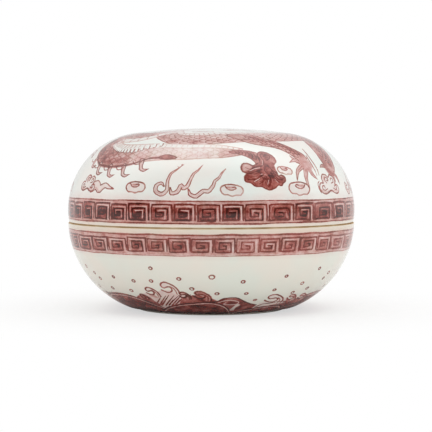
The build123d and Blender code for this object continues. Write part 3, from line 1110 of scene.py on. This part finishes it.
locks += [(-2.4, 2.4)]
lid_paint.fill(tuft(crest + locks), 0.6, 0.35)
lid_paint.brush(tuft([(-0.8, 5.2), (1.2, 4.6), (2.4, 3.0)]), 2.6, 0.62, 0.8)
lid_paint.brush(tuft([(-0.6, 3.0), (0.6, 0.6), (1.0, -1.8), (0.4, -3.6)]), (2.6, 4.6, 4.8, 2.4), 0.76, 1.4)
lid_paint.brush(tuft([(1.4, -2.6), (3.0, -3.6), (4.5, -3.1)]), 1.6, 0.6)
lid_paint.brush(tuft([(-1.5, -0.6), (-4.2, -1.6), (-6.2, -2.6)]), 1.6, 0.56, 0.6)
pale_lock = [(-7.4, -0.4), (-7.6, 0.9), (-6.8, 2.0), (-5.2, 1.9), (-4.4, 0.9), (-5.6, -0.2)]
lid_paint.fill(tuft(pale_lock), 0.26, 0.5)
lid_paint.stroke(tuft(crest), 0.36, 0.5)
lid_paint.stroke(tuft(locks), 0.38, (0.5, 0.5, 0.56, 0.52, 0.46, 0.44, 0.5))
for curl in (
    [(-1.0, 1.4), (-3.4, 1.0), (-5.2, 0.2), (-6.6, 0.8)],
    [(-1.4, 0.2), (-3.6, -0.6), (-5.4, -1.2), (-6.6, -1.0)],
    [(-1.0, -1.4), (-2.8, -2.6), (-4.8, -3.2), (-6.4, -3.2)],
    [(-0.4, -2.4), (-1.8, -3.8), (-3.2, -4.6)],
    [(0.6, -2.6), (0.4, -4.4), (-0.6, -5.6)],
    [(1.6, -2.2), (2.6, -3.8), (3.6, -4.2)],
    [(2.0, -0.6), (2.6, -2.6), (4.0, -3.4), (4.9, -2.9)],
    [(1.0, 3.4), (2.4, 4.4), (2.6, 5.6), (1.2, 6.0), (0.4, 5.2)],
    [(-0.4, 4.4), (-0.6, 5.8), (0.6, 6.6)],
    [(0.6, 1.6), (1.6, 0.2), (1.4, -1.4)],
    [(-0.6, 1.0), (-0.6, -0.6), (0.2, -1.8)],
):
    lid_paint.stroke(tuft(curl), (0.32, 0.3, 0.2), 0.46)
draw = random.Random(61)
hair_lengths = (6.2, 6.4, 6.2, 6.0, 5.6, 5.2, 4.8, 5.0, 5.4, 5.4, 5.0, 4.8, 4.6, 5.2, 5.4, 4.4, 3.4, 3.0)
for turn, length in zip(range(178, 372, 11), hair_lengths):
    way = cmath.exp(1j * math.radians(turn + draw.uniform(-3, 3)))
    start, end = 1.6 * draw.uniform(0.8, 1.4), length * draw.uniform(0.72, 0.95)
    bow = way * 1j * draw.uniform(0.2, 0.7)
    spots = [way * start, way * (start + end) / 2 + bow, way * end]
    lid_paint.stroke(tuft([(s.real - 0.4, s.imag - 0.6) for s in spots]), (0.3, 0.32, 0.16), 0.42)
for row in range(9):
    x, y = -9.0 + 1.05 * row, 7.3 - 0.05 * row - 0.055 * row**2
    reach = 0.55 + 0.14 * row
    mark = [(x - 0.1, y + reach), (x + 0.5, y + 0.1), (x + 0.1, y - reach)]
    lid_paint.stroke(tuft(mark), 0.28, 0.4)
for gap in (
    [(-2.0, 0.7), (-4.0, 0.3), (-5.6, -0.5)],
    [(-1.6, -2.2), (-3.2, -3.2), (-4.6, -3.9)],
    [(-0.8, -1.6), (-2.2, -1.5), (-3.4, -2.2)],
    [(0.0, -3.4), (-0.6, -4.8)],
    [(2.0, -3.2), (2.8, -4.2)],
    [(-0.2, 3.6), (-1.0, 1.8)],
    [(3.2, -1.6), (4.4, -2.4)],
):
    lid_paint.stroke(tuft(gap), (0.2, 0.34, 0.15), scraped=True)

# The head, drawn from its nape to its snout
head_size = 1.32


def head(*shape):
    """Places of a shape drawn about the middle of the head, with its snout to the right."""
    return on_top(*[(2.4 + head_size * x, 2.6 + head_size * y) for x, y in shape])


mane = [(-9.5, 4.2), (-10.8, 1.2), (-10.2, -2.0), (-7.6, -4.8), (-4.6, -6.6)]
licks(lid_paint, head, mane, (-1.0, 0.6), 3.0, 0.42, 0.75)
licks(lid_paint, head, [(-8.0, 6.0), (-6.0, -6.4), (-2.8, -6.2)], (-1.0, 0.2), 2.2, 0.5, 0.8, -0.2)
for horn, widths in (
    ([(-0.3, 4.0), (-2.6, 6.6), (-6.0, 7.6), (-10.0, 7.2)], (1.9, 1.5, 1.1, 0.2)),
    ([(-4.6, 7.4), (-6.2, 8.8), (-8.4, 9.6)], (1.1, 0.9, 0.2)),
    ([(1.2, 4.4), (0.2, 7.2), (-2.0, 9.4), (-5.0, 10.4)], (1.8, 1.4, 1.0, 0.2)),
    ([(-0.8, 8.4), (-0.8, 10.2), (-2.0, 11.8)], (1.0, 0.8, 0.2)),
):
    lid_paint.ribbon(head(*horn), widths, 0.2, 0.75)
licks(lid_paint, head, [(3.2, -6.0), (1.2, -6.2), (5.4, -5.2)], (2.6, -1.8), 1.3, 0.4, 0.75)
jaw = [(-1.4, -0.6), (0.4, -2.4), (2.6, -3.0), (5.2, -2.9), (7.4, -2.2), (8.4, -1.2), (7.4, -0.9)]
jaw += [(5.4, -1.3), (3.2, -1.1), (1.4, -0.6)]
lid_paint.fill(head(*jaw), 0.36)
lid_paint.brush(head((0.4, -1.6), (3.4, -2.3), (6.6, -1.8)), 1.0, 0.55)
lid_paint.stroke(head(*jaw), 0.45, 0.9, closed=True)
lid_paint.ribbon(head((1.2, -0.7), (4.2, -0.5), (7.2, -0.2), (9.6, -1.2)), (1.0, 1.0, 0.8, 0.1), 0.75, 0.9)
face = [(-2.0, 0.2), (-2.6, 2.2), (-1.4, 4.0), (0.6, 4.7), (2.2, 4.9), (3.6, 4.3), (4.6, 3.3), (6.0, 3.4)]
face += [(7.4, 4.3), (8.9, 3.6), (9.6, 2.0), (9.0, 0.9), (7.6, 0.4), (5.6, 0.9), (3.8, 0.2), (1.6, 0.2)]
face += [(0.0, -0.9)]
lid_paint.fill(head(*face), 0.32)
lid_paint.brush(head((-1.2, 1.6), (0.6, 3.6), (3.0, 4.2)), 1.5, 0.6, 0.8)
lid_paint.brush(head((4.8, 2.4), (7.0, 3.2), (8.8, 2.6)), 1.2, 0.55, 0.6)
lid_paint.stroke(head(*face), 0.48, 0.95, closed=True)
teeth = [((7.9, 0.6), (7.7, -0.7)), ((5.2, 0.9), (5.0, -0.2)), ((3.4, 0.2), (3.3, -0.7))]
for tooth in (*teeth, ((6.6, -1.2), (6.8, -0.2))):
    lid_paint.ribbon(head(*tooth), (0.7, 0.15), 0.02, 0.8, 0.25)
eye = oval((2.6, 2.7), 1.1, 0.85, 8)
lid_paint.fill(head(*eye), 0.02, 0.2)
lid_paint.stroke(head(*eye), 0.38, 0.95, closed=True)
lid_paint.fill(head(*oval((2.8, 2.7), 0.4, 0.4, 6)), 1.0, 0.15)
for line in (
    [(0.8, 3.2), (2.0, 4.2), (4.0, 3.9)],
    [(4.4, 2.4), (5.4, 1.8), (6.6, 2.2)],
    [(8.7, 2.2), (8.0, 1.7), (7.5, 2.3), (8.0, 2.9), (8.5, 2.6)],
    [(-0.2, 0.4), (-1.2, 1.2), (-0.6, 2.2), (0.4, 1.8), (0.1, 1.0), (-0.5, 1.3)],
    [(0.9, 1.3), (2.4, 1.2), (4.2, 1.5)],
    [(-1.6, 3.0), (-0.8, 3.4), (0.0, 3.0)],
    [(1.0, -1.6), (2.6, -2.1), (4.6, -2.0)],
    [(7.3, 3.0), (6.4, 3.3), (5.9, 2.9)],
):
    lid_paint.stroke(head(*line), (0.3, 0.45, 0.3), 0.95)
lid_paint.ribbon(head((-1.6, 3.0), (-3.6, 3.9), (-5.6, 3.3)), (1.3, 1.2, 0.1), 0.3, 0.85)
licks(lid_paint, head, [(1.0, 6.4), (2.6, 6.6), (4.4, 6.2)], (2.2, 4.4), 0.9, 0.5, 0.85)
for whisker in (
    [(8.6, 3.8), (10.8, 5.6), (10.0, 8.2), (12.4, 9.4), (14.2, 8.2)],
    [(9.2, 1.6), (11.8, 0.8), (12.4, -2.4), (15.4, -3.4)],
):
    lid_paint.stroke(head(*whisker), (0.6, 0.5, 0.4, 0.2), 0.85)

# The pearl, with its flames
pearl = on_top(*oval((18.6, -4.4), 2.3, 2.3, 10))
licks(lid_paint, on_top, [(21.6, 0.8), (20.0, 1.6), (17.6, 1.0)], (18.8, -3.4), 1.8, 0.45, 0.8)
licks(lid_paint, on_top, [(14.4, -6.0), (15.4, -8.8), (18.0, -9.8)], (18.2, -5.2), 1.6, 0.45, 0.8, -0.2)
lid_paint.fill(pearl, 0.1)
lid_paint.brush(on_top((17.4, -5.6), (18.8, -6.0), (20.0, -5.2)), 1.2, 0.5, 0.6)
lid_paint.stroke(pearl, 0.45, 0.9, closed=True)
swirl = on_top((19.6, -4.4), (18.8, -3.4), (17.6, -4.0), (17.8, -5.2), (18.9, -5.2), (19.0, -4.4))
lid_paint.stroke(swirl, 0.35, 0.8)

# Clouds in the open parts of the dome. One covers the place where the body doubles back
ruyi_cloud(lid_paint, above(-12.5, -14.5, 1.2, 14), 1.2)
ruyi_cloud(lid_paint, above(8.5, -15.5, 1.1, 6), 1.1, tail=False)
scroll_cloud(lid_paint, above(3, 20, 0.95, 8), 0.95)
small_cloud(lid_paint, above(-2.5, -22.0, 1.0, -4))
small_cloud(lid_paint, above(-24, 3.5, 1.1, -80))
ruyi_cloud(lid_paint, above(-37, 0, 1.0, -100), 1.0)
small_cloud(lid_paint, above(-27, -9, 0.9, -40))
small_cloud(lid_paint, above(-12, -7, 0.95, -15))

# The row of clouds over the band
ruyi_cloud(lid_paint, lid_face.about(-58.6, 51.6, 1.0, -2), 1.0, tone=0.62)
small_cloud(lid_paint, lid_face.about(-30.6, 51.9, 1.02, 2), 1.02, 0.62)
small_cloud(lid_paint, lid_face.about(7.8, 52.7, 1.04, -2), 1.04, 0.46)
small_cloud(lid_paint, lid_face.about(31.6, 46.4, 0.78, -8), 0.78, 0.5)
small_cloud(lid_paint, lid_face.about(36.4, 52.4, 1.2, -5, flip=True), 1.2, 0.62)
ruyi_cloud(lid_paint, lid_face.about(54.6, 52.0, 1.24), 1.24, tail=False, tone=0.58)
wisp = lid_face.about(47.6, 52.2)([(0.6, 2.0), (-0.4, 1.2), (-0.5, -0.6), (0.2, -1.8)])
lid_paint.stroke(wisp, (0.25, 0.36, 0.3), 0.55)
for turn, along, size, lean, flip, kind in (
    (83, 52.2, 0.85, 3, False, scroll_cloud),
    (109, 48.0, 1.0, 0, True, ruyi_cloud),
    (106, 53.4, 0.85, 0, False, small_cloud),
    (122, 47.0, 1.0, 8, False, small_cloud),
    (133, 52.0, 0.95, 0, False, ruyi_cloud),
    (158, 52.0, 1.0, -5, True, small_cloud),
    (175, 51.0, 1.0, 5, False, ruyi_cloud),
    (206, 51.5, 1.0, 0, True, scroll_cloud),
    (232, 52.4, 1.0, 4, False, small_cloud),
    (247, 50.8, 0.95, -3, False, ruyi_cloud),
    (264, 46.0, 1.0, 0, True, small_cloud),
    (279, 52.6, 0.9, -3, False, small_cloud),
):
    kind(lid_paint, lid_face.about(turn, along, size, lean, flip), size=size)

# The long flame-like cloud at the front
left = [(-18.4, 51.5), (-19.7, 50.5), (-21.7, 51.4), (-21.5, 53.2), (-19.0, 54.0), (-17.0, 52.6)]
left += [(-17.3, 50.0), (-16.3, 47.4), (-14.2, 46.1), (-12.4, 44.8)]
middle = [(-15.9, 52.0), (-15.2, 53.7), (-12.9, 53.2), (-11.7, 51.4), (-10.5, 52.1), (-9.0, 51.3)]
middle += [(-8.2, 49.4), (-7.0, 47.4), (-5.4, 46.4), (-4.0, 44.8)]
right = [(-8.8, 52.4), (-8.0, 54.0), (-5.8, 54.6), (-4.2, 53.6), (-2.9, 52.9), (-1.0, 53.0), (0.7, 51.4)]
right += [(1.4, 49.8), (3.0, 48.8), (4.2, 47.2), (5.8, 45.8)]
flame_widths = (0.3, 0.9, 1.1, 1.15, 1.1, 0.95, 0.8, 0.6, 0.4, 0.1)
for flame in (left, middle, right):
    lid_paint.ribbon(flame, flame_widths, 0.12, (0.6, 0.54, 0.3, 0.54, 0.6), 0.3)
    lid_paint.brush(flame[2:5], 0.5, 0.26, 0.4)

# The band above the joint: two lines round the lid, and a row of square spirals between them, over a wash
# that stains the white around it a little
lid_band = (57.15, 61.85)
lid_bounds = (-59.4, -50.6, -41.5, -33.1, -23.3, -14.3, -5.4, 3.7, 12.3, 21.5, 33.1, 42.7, 54.3, 65.0)
lid_band_look = {"gap": 0.75, "width": 0.5, "tone": 0.66, "pool": 0.76, "pale": 0.22, "fades": 0.1}
lid_paint.belt(54.2, 63.4, depth=0.045, soft=1.6)
lid_paint.belt(56.1, 62.7, depth=0.3, soft=0.5)
fret(lid_paint, lid_band, lid_bounds, more=26, seed=11, **lid_band_look)
border(lid_paint, lid_band[0] - 1.1, width=0.42, tone=0.6, seed=12)
border(lid_paint, lid_band[1] + 0.93, width=0.45, tone=0.64, seed=13)

lid_skin = lid_paint.mesh("lid_skin")
bore_radius = shoulder_centre[0] + (shoulder_radius - lid_wall) * math.cos(math.radians(bore_angle))
rim_radius = shoulder_centre[0] + shoulder_radius * math.cos(math.radians(rim_angle))
lid_shell = spun(
    "lid_shell",
    rounded(
        arc(shoulder_centre, shoulder_radius, skin_angle, rim_angle, rim_step)[:-1]
        + [(rim_radius, joint_height, rim_edge), (bore_radius, joint_height, rim_inner_edge)]
        + arc(shoulder_centre, shoulder_radius - lid_wall, bore_angle, join_angle)[1:]
        + arc(crown_centre, crown_radius - lid_wall, join_angle, 90, ceiling_step)[1:]
    ),
)
lid = welded(lid_skin, lid_face, [lid_shell], "painted_lid")
# The lid's glaze is drawn whiter and bluer than the bowl's: partly painted highlight, for the overhead light
# on the lid
glazed_lid = painted_porcelain("glazed_porcelain_lid", "#f1efed")
unglazed = bare_clay("unglazed_porcelain_rim")
rim_wiped = 0.32  # the glaze stops this far from the flat of the rim


def lid_rim(r, z):
    """Whether a face of the lid is bare: the flat rim, and the glaze's edge just over it."""
    return z < joint_height + rim_wiped and r > bore_radius - 0.3


wear(lid, glazed_lid, (unglazed, lid_rim))
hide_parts("lid")
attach(lid, "lid")


# The bowl: porcelain thrown in one piece with its foot ring and the flange that centres the lid, painted
# and glazed like the lid. The flange, the rim and the foot ring's edge are bare clay. The base is
# recessed within the foot ring, and glazed.
belly_centre = (15.84, 29.0)
belly_radius = box_radius - belly_centre[0]
bowl_wall = 3.6
bowl_skin_start = 0.6  # the painted face is measured down over the belly, from the rim to the foot
foot_skin_end = 0.45  # and ends at this height
foot_shelf = (26.8, 0.9)
foot_ring_radii = (23.6, 21.0)
recess_height = 1.8
foot_shelf_edge = 1.5
foot_edge = 0.4
floor_height = 5.0
floor_corner = 8.0
flat_middle = 12.0  # a ring of points on the floor, for even faces, and a smaller one on the base
base_middle = 10.0
flange_radii = (41.925, 39.925)
flange_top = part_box("bowl")[1].z / MM
flange_root = (26.5, 21.0)  # the flange's inner face leans out to the wall between these heights
flange_tip = 0.8
flange_blend = 3.0


def belly_point(angle, radius):
    """The (radius, height) of a point of the bowl's round wall, at an angle above the horizontal."""
    a = math.radians(angle)
    return belly_centre[0] + radius * math.cos(a), belly_centre[1] + radius * math.sin(a)


def belly_angle(height, radius):
    """The angle at which the bowl's round wall reaches a height."""
    return math.degrees(math.asin((height - belly_centre[1]) / radius))


rim_turn = belly_angle(joint_height, belly_radius)
skin_turn = rim_turn - math.degrees(bowl_skin_start / belly_radius)
shelf_turn = belly_angle(foot_shelf[1], belly_radius)
bowl_profile = rounded(
    arc(belly_centre, belly_radius, skin_turn, shelf_turn, fine_step)[:-1]
    + [(*foot_shelf, foot_shelf_edge), (foot_ring_radii[0], foot_shelf[1], foot_edge)]
    + [(foot_ring_radii[0], foot_skin_end, 0)]
)
bowl_face = Surface(bowl_profile, bowl_skin_start)
bowl_paint = Painting(bowl_face)
foot_along = bowl_face.way[-1]


def wave_crest(painting, about, width, tone, dark, flesh):
    """A finger of foam that curls over to the left and rolls back under itself, in one line."""
    finger = [(2.4, -2.6), (2.4, -0.9), (1.8, 0.7), (0.5, 2.0), (-1.1, 2.8), (-2.4, 2.3), (-2.7, 1.3)]
    finger += [(-2.0, 0.5)]
    under = [(-1.2, 0.8), (-0.4, 1.0), (0.3, 0.5), (0.4, -0.5), (-0.2, -1.3), (-1.3, -1.5), (-2.3, -1.0)]
    under += [(-3.1, -0.2)]
    if dark:
        painting.fill(about(under[1:] + [(-2.2, -2.4), (0, -3.6), (2.2, -3.2), (1.6, 0.2)]), dark)
    painting.fill(about(finger + under[:5] + [(1.0, -2.8)]), flesh, 0.2)
    painting.stroke(about(finger + under), width, tone)
    painting.stroke(about([(1.5, -2.6), (1.5, -1.2), (1.1, 0.2), (0.2, 1.1)]), width * 0.7, tone * 0.7)


def sea(painting, start, size, seed):
    """A stretch of breaking sea, about 130 degrees wide: crests and spray over dark swells."""
    draw = random.Random(seed)
    low = foot_along - 0.1

    def at(*points):
        """Places of points given by their turn from the stretch's middle, at its own size."""
        return [(start + t * size, s) for t, s in points]

    def crest(turn, along, crest_size, lean=0.0, dark=0.0, broad=1.0, flesh=0.07):
        """A wave crest, which may be drawn broader than it is high, with dark water behind it."""
        about = bowl_face.about(start + turn * size, along, crest_size, lean + draw.uniform(-5, 5))
        tone = draw.uniform(0.56, 0.72)
        wave_crest(painting, lambda shape: about([(x * broad, y) for x, y in shape]), 0.52, tone, dark, flesh)

    def swell(top, depth, rim=1.0):
        """A dark swell under a curved top line, down to the foot, with a pale line along its edge."""
        end, begin = top[-1][0], top[0][0]
        across = [(end + (begin - end) * i / 6, low) for i in range(7)]
        painting.fill(at(*top, *across), depth, corners=True)
        painting.stroke(at(*[(t, s + rim) for t, s in top]), 0.42, scraped=True)
        painting.stroke(at(*top), 0.42, 0.74)

    largest = (0.2, 15.5)
    spray = [(-25.2, 12.7), (-47.1, 16.7), (-35.8, 17.7), (-26.6, 17.4), (-13.7, 16.3), (-53.6, 21.6)]
    spray += [(-40.5, 22.0), (-61.4, 15.9), largest, (13.6, 17.4), (33.3, 15.8), (51.6, 13.8), (44.8, 19.1)]
    spray += [(51.3, 21.6), (30.1, 21.2), (16.4, 22.4), (2.6, 22.3), (22.4, 25.8), (42.5, 23.0), (59.9, 17.9)]
    spray += [(-8.7, 20.2)]
    for drop in spray:
        radius = draw.uniform(0.52, 0.66) * (1.4 if drop == largest else 1)
        about = bowl_face.about(start + drop[0] * size, drop[1], radius)
        ring = about(oval((0, 0), 1, 0.85, 8, 20))
        painting.stroke(ring, (0.5, 0.36, 0.42), draw.uniform(0.6, 0.85), closed=True)

    # Foam between the two left crests and the swells, with the fine lines of water that run up it
    foam = [(-40, 25.6), (-34, 23.0), (-29, 22.6), (-22, 21.0), (-14, 21.6), (-11, 25), (-15, 28.4)]
    painting.fill(at(*foam, (-27, 31.4)), 0.12)
    for i in range(9):
        turn = -32.0 + 2.1 * i + draw.uniform(-0.3, 0.3)
        foot = 29.6 - 0.16 * i
        tip = (turn + 7.6, 23.9 - 0.1 * i + draw.uniform(-0.6, 0.2))
        run = at((turn, foot), (turn + 3.6, foot - 2.7), tip)
        painting.stroke(run, (0.5, 0.45, 0.2), draw.uniform(0.72, 0.9))
    shade = at((-40, 25.2), (-36, 23.8), (-32, 24.4), (-30.5, 26.6), (-28, 29.6), (-35, 27.6))
    painting.fill(shade, 0.58, 0.4)
    crest(-34.6, 24.6, 0.5, 6, 0.7, 1.0, 0.42)
    crest(-28.2, 22.2, 0.78, 4, 0.35)
    crest(-18.6, 20.4, 1.0, 0, 0.0)

    # The red water behind the two middle crests, and the swells in front of it
    behind = at((-14, 24.6), (-8, 23.0), (-4, 23.4), (2.5, 25.6), (4, 28.6), (-7, 28.4), (-17, 29.4))
    painting.fill(behind, 0.56, 0.4)
    crest(-12.2, 23.4, 0.6, -4, 0.7, 1.1, 0.4)
    crest(-3.6, 23.6, 0.78, -12, 0.7, 1.35, 0.4)
    top = [(-4, 27), (0, 26.4), (3.4, 26.0), (6.4, 24.5), (12, 24.3), (15.4, 25.6), (19.6, 27.4), (27, 29.2)]
    under = [(27, 32), (14, 33.6), (13.2, 29.6), (11, 31.4), (9.6, low), (0, low)]
    painting.fill(at(*top, *under), 0.68, corners=True)
    painting.stroke(at(*top), 0.42, 0.9)
    loop = [(3.0, 27.2), (6.2, 25.9), (10.4, 25.6), (14.0, 26.6), (13.4, 27.9), (9.6, 28.2), (6.4, 27.8)]
    painting.stroke(at(*loop, (7.6, 27.0)), (0.25, 0.4, 0.4, 0.3), scraped=True)
    pale = at((13.4, 28.0), (15.6, 28.4), (13.6, 30.4), (13.2, 33.4), (9.8, 33.8), (11.4, 30.6))
    painting.fill(pale, 0.05, 0.4)

    # The right crests, broad and low, in front of a bank that climbs out of sight
    bank = [(24, 34.0), (30, 29.6), (37, 28.0), (44, 27.0), (52, 26.4), (61, 25.6), (68, 26.6), (76, 30.0)]
    painting.fill(at(*bank, (78, 34.4)), 0.72, 0.4)
    white = at((24, 30.6), (28, 26.8), (36, 25.0), (43, 26.0), (42, 28.4), (34, 29.6), (27, 32.4))
    painting.fill(white, 0.06)
    crest(35.0, 26.2, 0.92, -4, 0.0, 1.5)
    edge = at((25, 30.4), (28.6, 28.4), (33, 28.2), (38, 27.4), (42.6, 27.6), (46, 26.4))
    painting.stroke(edge, (0.5, 0.35, 0.5), 0.85)
    painting.stroke(at((27, 32.0), (31.4, 30.0), (37, 29.6), (44, 28.4)), (0.3, 0.4, 0.3), scraped=True)
    crest(46.0, 25.9, 0.6, -8, 0.5, 1.4, 0.2)
    crest(55.0, 26.0, 0.62, -6, 0.6, 1.5, 0.3)

    # The swells before all of them, from left to right, with how deep their colour is
    left = [(-76, 34.4), (-70, 27.2), (-64, 24.6), (-53, 23.8), (-44, 24.4), (-36, 26.8), (-29, 30.2)]
    swell([*left, (-25, 34.4)], 0.8)
    middle = [(-30, 32.6), (-25, 30.2), (-17, 28.0), (-8, 26.9), (-1, 26.5), (4.5, 27.6), (9, 30.2)]
    swell([*middle, (12, 34.4)], 0.78, 0.9)
    swell([(12, 34.4), (18, 32.4), (25, 30.9), (33, 29.9), (40, 29.7), (46, 31.2), (50, 34.4)], 0.74, 0.9)
    swell([(40, 34.4), (47, 31.6), (54, 30.2), (62, 29.8), (70, 31.0), (77, 34.4)], 0.78)


# The sea, three times round with the front last
sea(bowl_paint, 240, size=1.02, seed=43)
sea(bowl_paint, 122, size=0.98, seed=42)
sea(bowl_paint, 0, size=1.0, seed=41)
# Two belts darken the belly down to the foot: partly the sea's dark water, partly painted shade where the
# belly turns under towards the table
bowl_paint.belt(32.6, foot_along + 1, depth=0.92, soft=2.2)
bowl_paint.belt(34.4, foot_along + 1, depth=1.25, soft=2.0)

# The band below the joint, paler and more rosy than the lid's, with the brush held more loosely
bowl_band = (3.1, 7.15)
bowl_bounds = (-64.7, -53.2, -43.7, -33.9, -25.1, -16.5, -7.7, 1.0, 9.3, 18.4, 27.1, 36.0, 45.1, 53.7, 65.8)
bowl_band_look = {"gap": 0.6, "width": 0.46, "tone": 0.6, "pool": 0.54, "pale": 0.22, "fades": 0.24}
bowl_paint.belt(0.9, 9.4, depth=0.045, soft=1.6)
bowl_paint.belt(1.9, 8.3, depth=0.33, soft=0.8)
fret(bowl_paint, bowl_band, bowl_bounds, more=25, seed=51, **bowl_band_look)
border(bowl_paint, bowl_band[0] - 1.18, width=0.5, tone=0.55, seed=52)
border(bowl_paint, bowl_band[1] + 1.2, width=0.34, tone=0.4, seed=53)

bowl_skin_mesh = bowl_paint.mesh("bowl_skin")
underside = spun(
    "bowl_underside",
    rounded(
        [(foot_ring_radii[0], foot_skin_end, 0), (foot_ring_radii[0], 0, foot_edge)]
        + [(foot_ring_radii[1], 0, foot_edge), (foot_ring_radii[1], recess_height, foot_edge)]
        + [(base_middle, recess_height, 0), (0, recess_height, 0)]
    ),
)
inner_radius = belly_radius - bowl_wall
root_turn, floor_turn = belly_angle(flange_root[1], inner_radius), belly_angle(floor_height, inner_radius)
bowl_inside = spun(
    "bowl_inside",
    rounded(
        arc(belly_centre, belly_radius, skin_turn, rim_turn, rim_step)[:-1]
        + [(belly_point(rim_turn, belly_radius)[0], joint_height, rim_edge)]
        + [(flange_radii[0], joint_height, rim_inner_edge), (flange_radii[0], flange_top, flange_tip)]
        + [(flange_radii[1], flange_top, flange_tip), (flange_radii[1], flange_root[0], flange_blend)]
        + [(*belly_point(root_turn, inner_radius), flange_blend)]
        + arc(belly_centre, inner_radius, root_turn, floor_turn)[1:-1]
        + [(*belly_point(floor_turn, inner_radius), floor_corner)]
        + [(flat_middle, floor_height, 0), (0, floor_height, 0)]
    ),
)
bowl = welded(bowl_skin_mesh, bowl_face, [underside, bowl_inside], "painted_bowl")


def bowl_bare(r, z):
    """Whether a face of the bowl is bare: the rim outside the flange's inner face, or the foot's edge."""
    on_rim = z > joint_height - rim_wiped and r > flange_radii[1] + 0.1
    return on_rim or (z < 0.12 and foot_ring_radii[1] - 0.2 < r < foot_ring_radii[0] + 0.2)


# The bowl's glaze is creamier than the lid's, whose whiter colour is partly painted highlight
glazed_bowl = painted_porcelain("glazed_porcelain_bowl", "#eeeae3")  # fired a touch creamier
wear(bowl, glazed_bowl, (unglazed, bowl_bare))
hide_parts("bowl")
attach(bowl, "bowl")


# The paste: a cake of vermilion seal paste, which is cinnabar ground in oil and kneaded with plant floss.
# It fills the bowl's hollow, and its top is pressed and turned with a spatula into a low, folded mound.
paste_wall = 26.26
paste_edge_height = 19.5
paste_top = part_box("seal_paste")[1].z / MM
paste_edge_round = 1.2
paste_corner = 8.3
paste_step = 0.5  # fine enough for the folds
fold_depth = 1.1


def knead(spot):
    """How far below its full height the paste's top lies at a spot, from the folds of the spatula."""
    sweep = spot.length * 0.055 + noise.noise(spot * 0.05) * 0.9
    turned = Vector((spot.x, spot.y)) @ Matrix.Rotation(sweep, 2)
    fold = 1 - abs(noise.noise(Vector((turned.x * 0.035, turned.y * 0.13, 2.0))))
    ridge = 1 - abs(noise.noise(Vector((turned.x * 0.09, turned.y * 0.4, 7.0))))
    dents = noise.fractal(spot * 0.22, 0.8, 2.1, 3)
    return fold_depth * (0.1 + 0.5 * fold**10 + 0.18 * ridge**6 + 0.2 * max(dents, 0))


paste_turns = [belly_angle(z, paste_wall) for z in (paste_edge_height, floor_height)]
rim_spot, foot_spot = (belly_point(t, paste_wall) for t in paste_turns)
crown_rise = paste_top - paste_edge_height
paste_crown = (rim_spot[0] ** 2 + crown_rise**2) / (2 * crown_rise)
edge_slope = math.degrees(math.acos(rim_spot[0] / paste_crown))
paste = spun(
    "seal_paste_cake",
    rounded(
        arc((0, paste_top - paste_crown), paste_crown, 90, edge_slope, paste_step)[:-1]
        + [(*rim_spot, paste_edge_round)]
        + arc(belly_centre, paste_wall, *paste_turns)[1:-1]
        + [(*foot_spot, paste_corner), (flat_middle, floor_height, 0), (0, floor_height, 0)]
    ),
)
for point in paste.data.vertices:
    x, y, z = point.co / MM
    held = math.hypot(x, y) / rim_spot[0]
    if z > paste_edge_height - 1:
        point.co.z -= knead(Vector((x, y, 0))) * min(1, (1 - held) * 9) * MM if held < 1 else 0
closed_up(paste)


def vermilion_paste(name):
    """Cinnabar in castor oil: a deep, warm vermilion with an oily sheen over matted fibres, which are drawn
    a few times as coarse as real floss, so that they show.
    """
    material = bpy.data.materials.new(name)
    add = emptied(material)
    oil = mottle(add, 9.0, 3.0)
    red = add("ValToRGB", {0: oil}, [(0.3, "#9c1a12"), (0.5, "#bd281a"), (0.75, "#cf3a24")])[0]
    matted = add("Math", {0: mottle(add, 1.1), 1: 0.8}, operation="MULTIPLY")[0]
    for turn in (20, 75, 140):
        fibres = {"Rotation": (0, 0, math.radians(turn)), "Scale": (1.0, 7.0, 2.0)}
        fibres = add("Mapping", {"Vector": add("TexCoord")["Object"], **fibres})[0]
        fibres = {"Vector": fibres, "Scale": 1 / (3.2 * MM), "Detail": 2.0, "Distortion": 0.4}
        matted = add("Math", {0: matted, 1: add("TexNoise", fibres)["Fac"]}, operation="ADD")[0]
    bump = add("Bump", {"Height": matted, "Strength": 0.55, "Distance": 0.16 * MM})[0]
    sheen = add("MapRange", {0: oil, 1: 0.35, 2: 0.65, 3: 0.3, 4: 0.46})[0]
    paste_look = {"Base Color": red, "Normal": bump, "Roughness": sheen, "IOR": 1.48}
    add("OutputMaterial", {"Surface": add("BsdfPrincipled", paste_look)[0]})
    return material


wear(paste, vermilion_paste("vermilion_seal_paste"))
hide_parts("seal_paste")
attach(paste, "bowl")
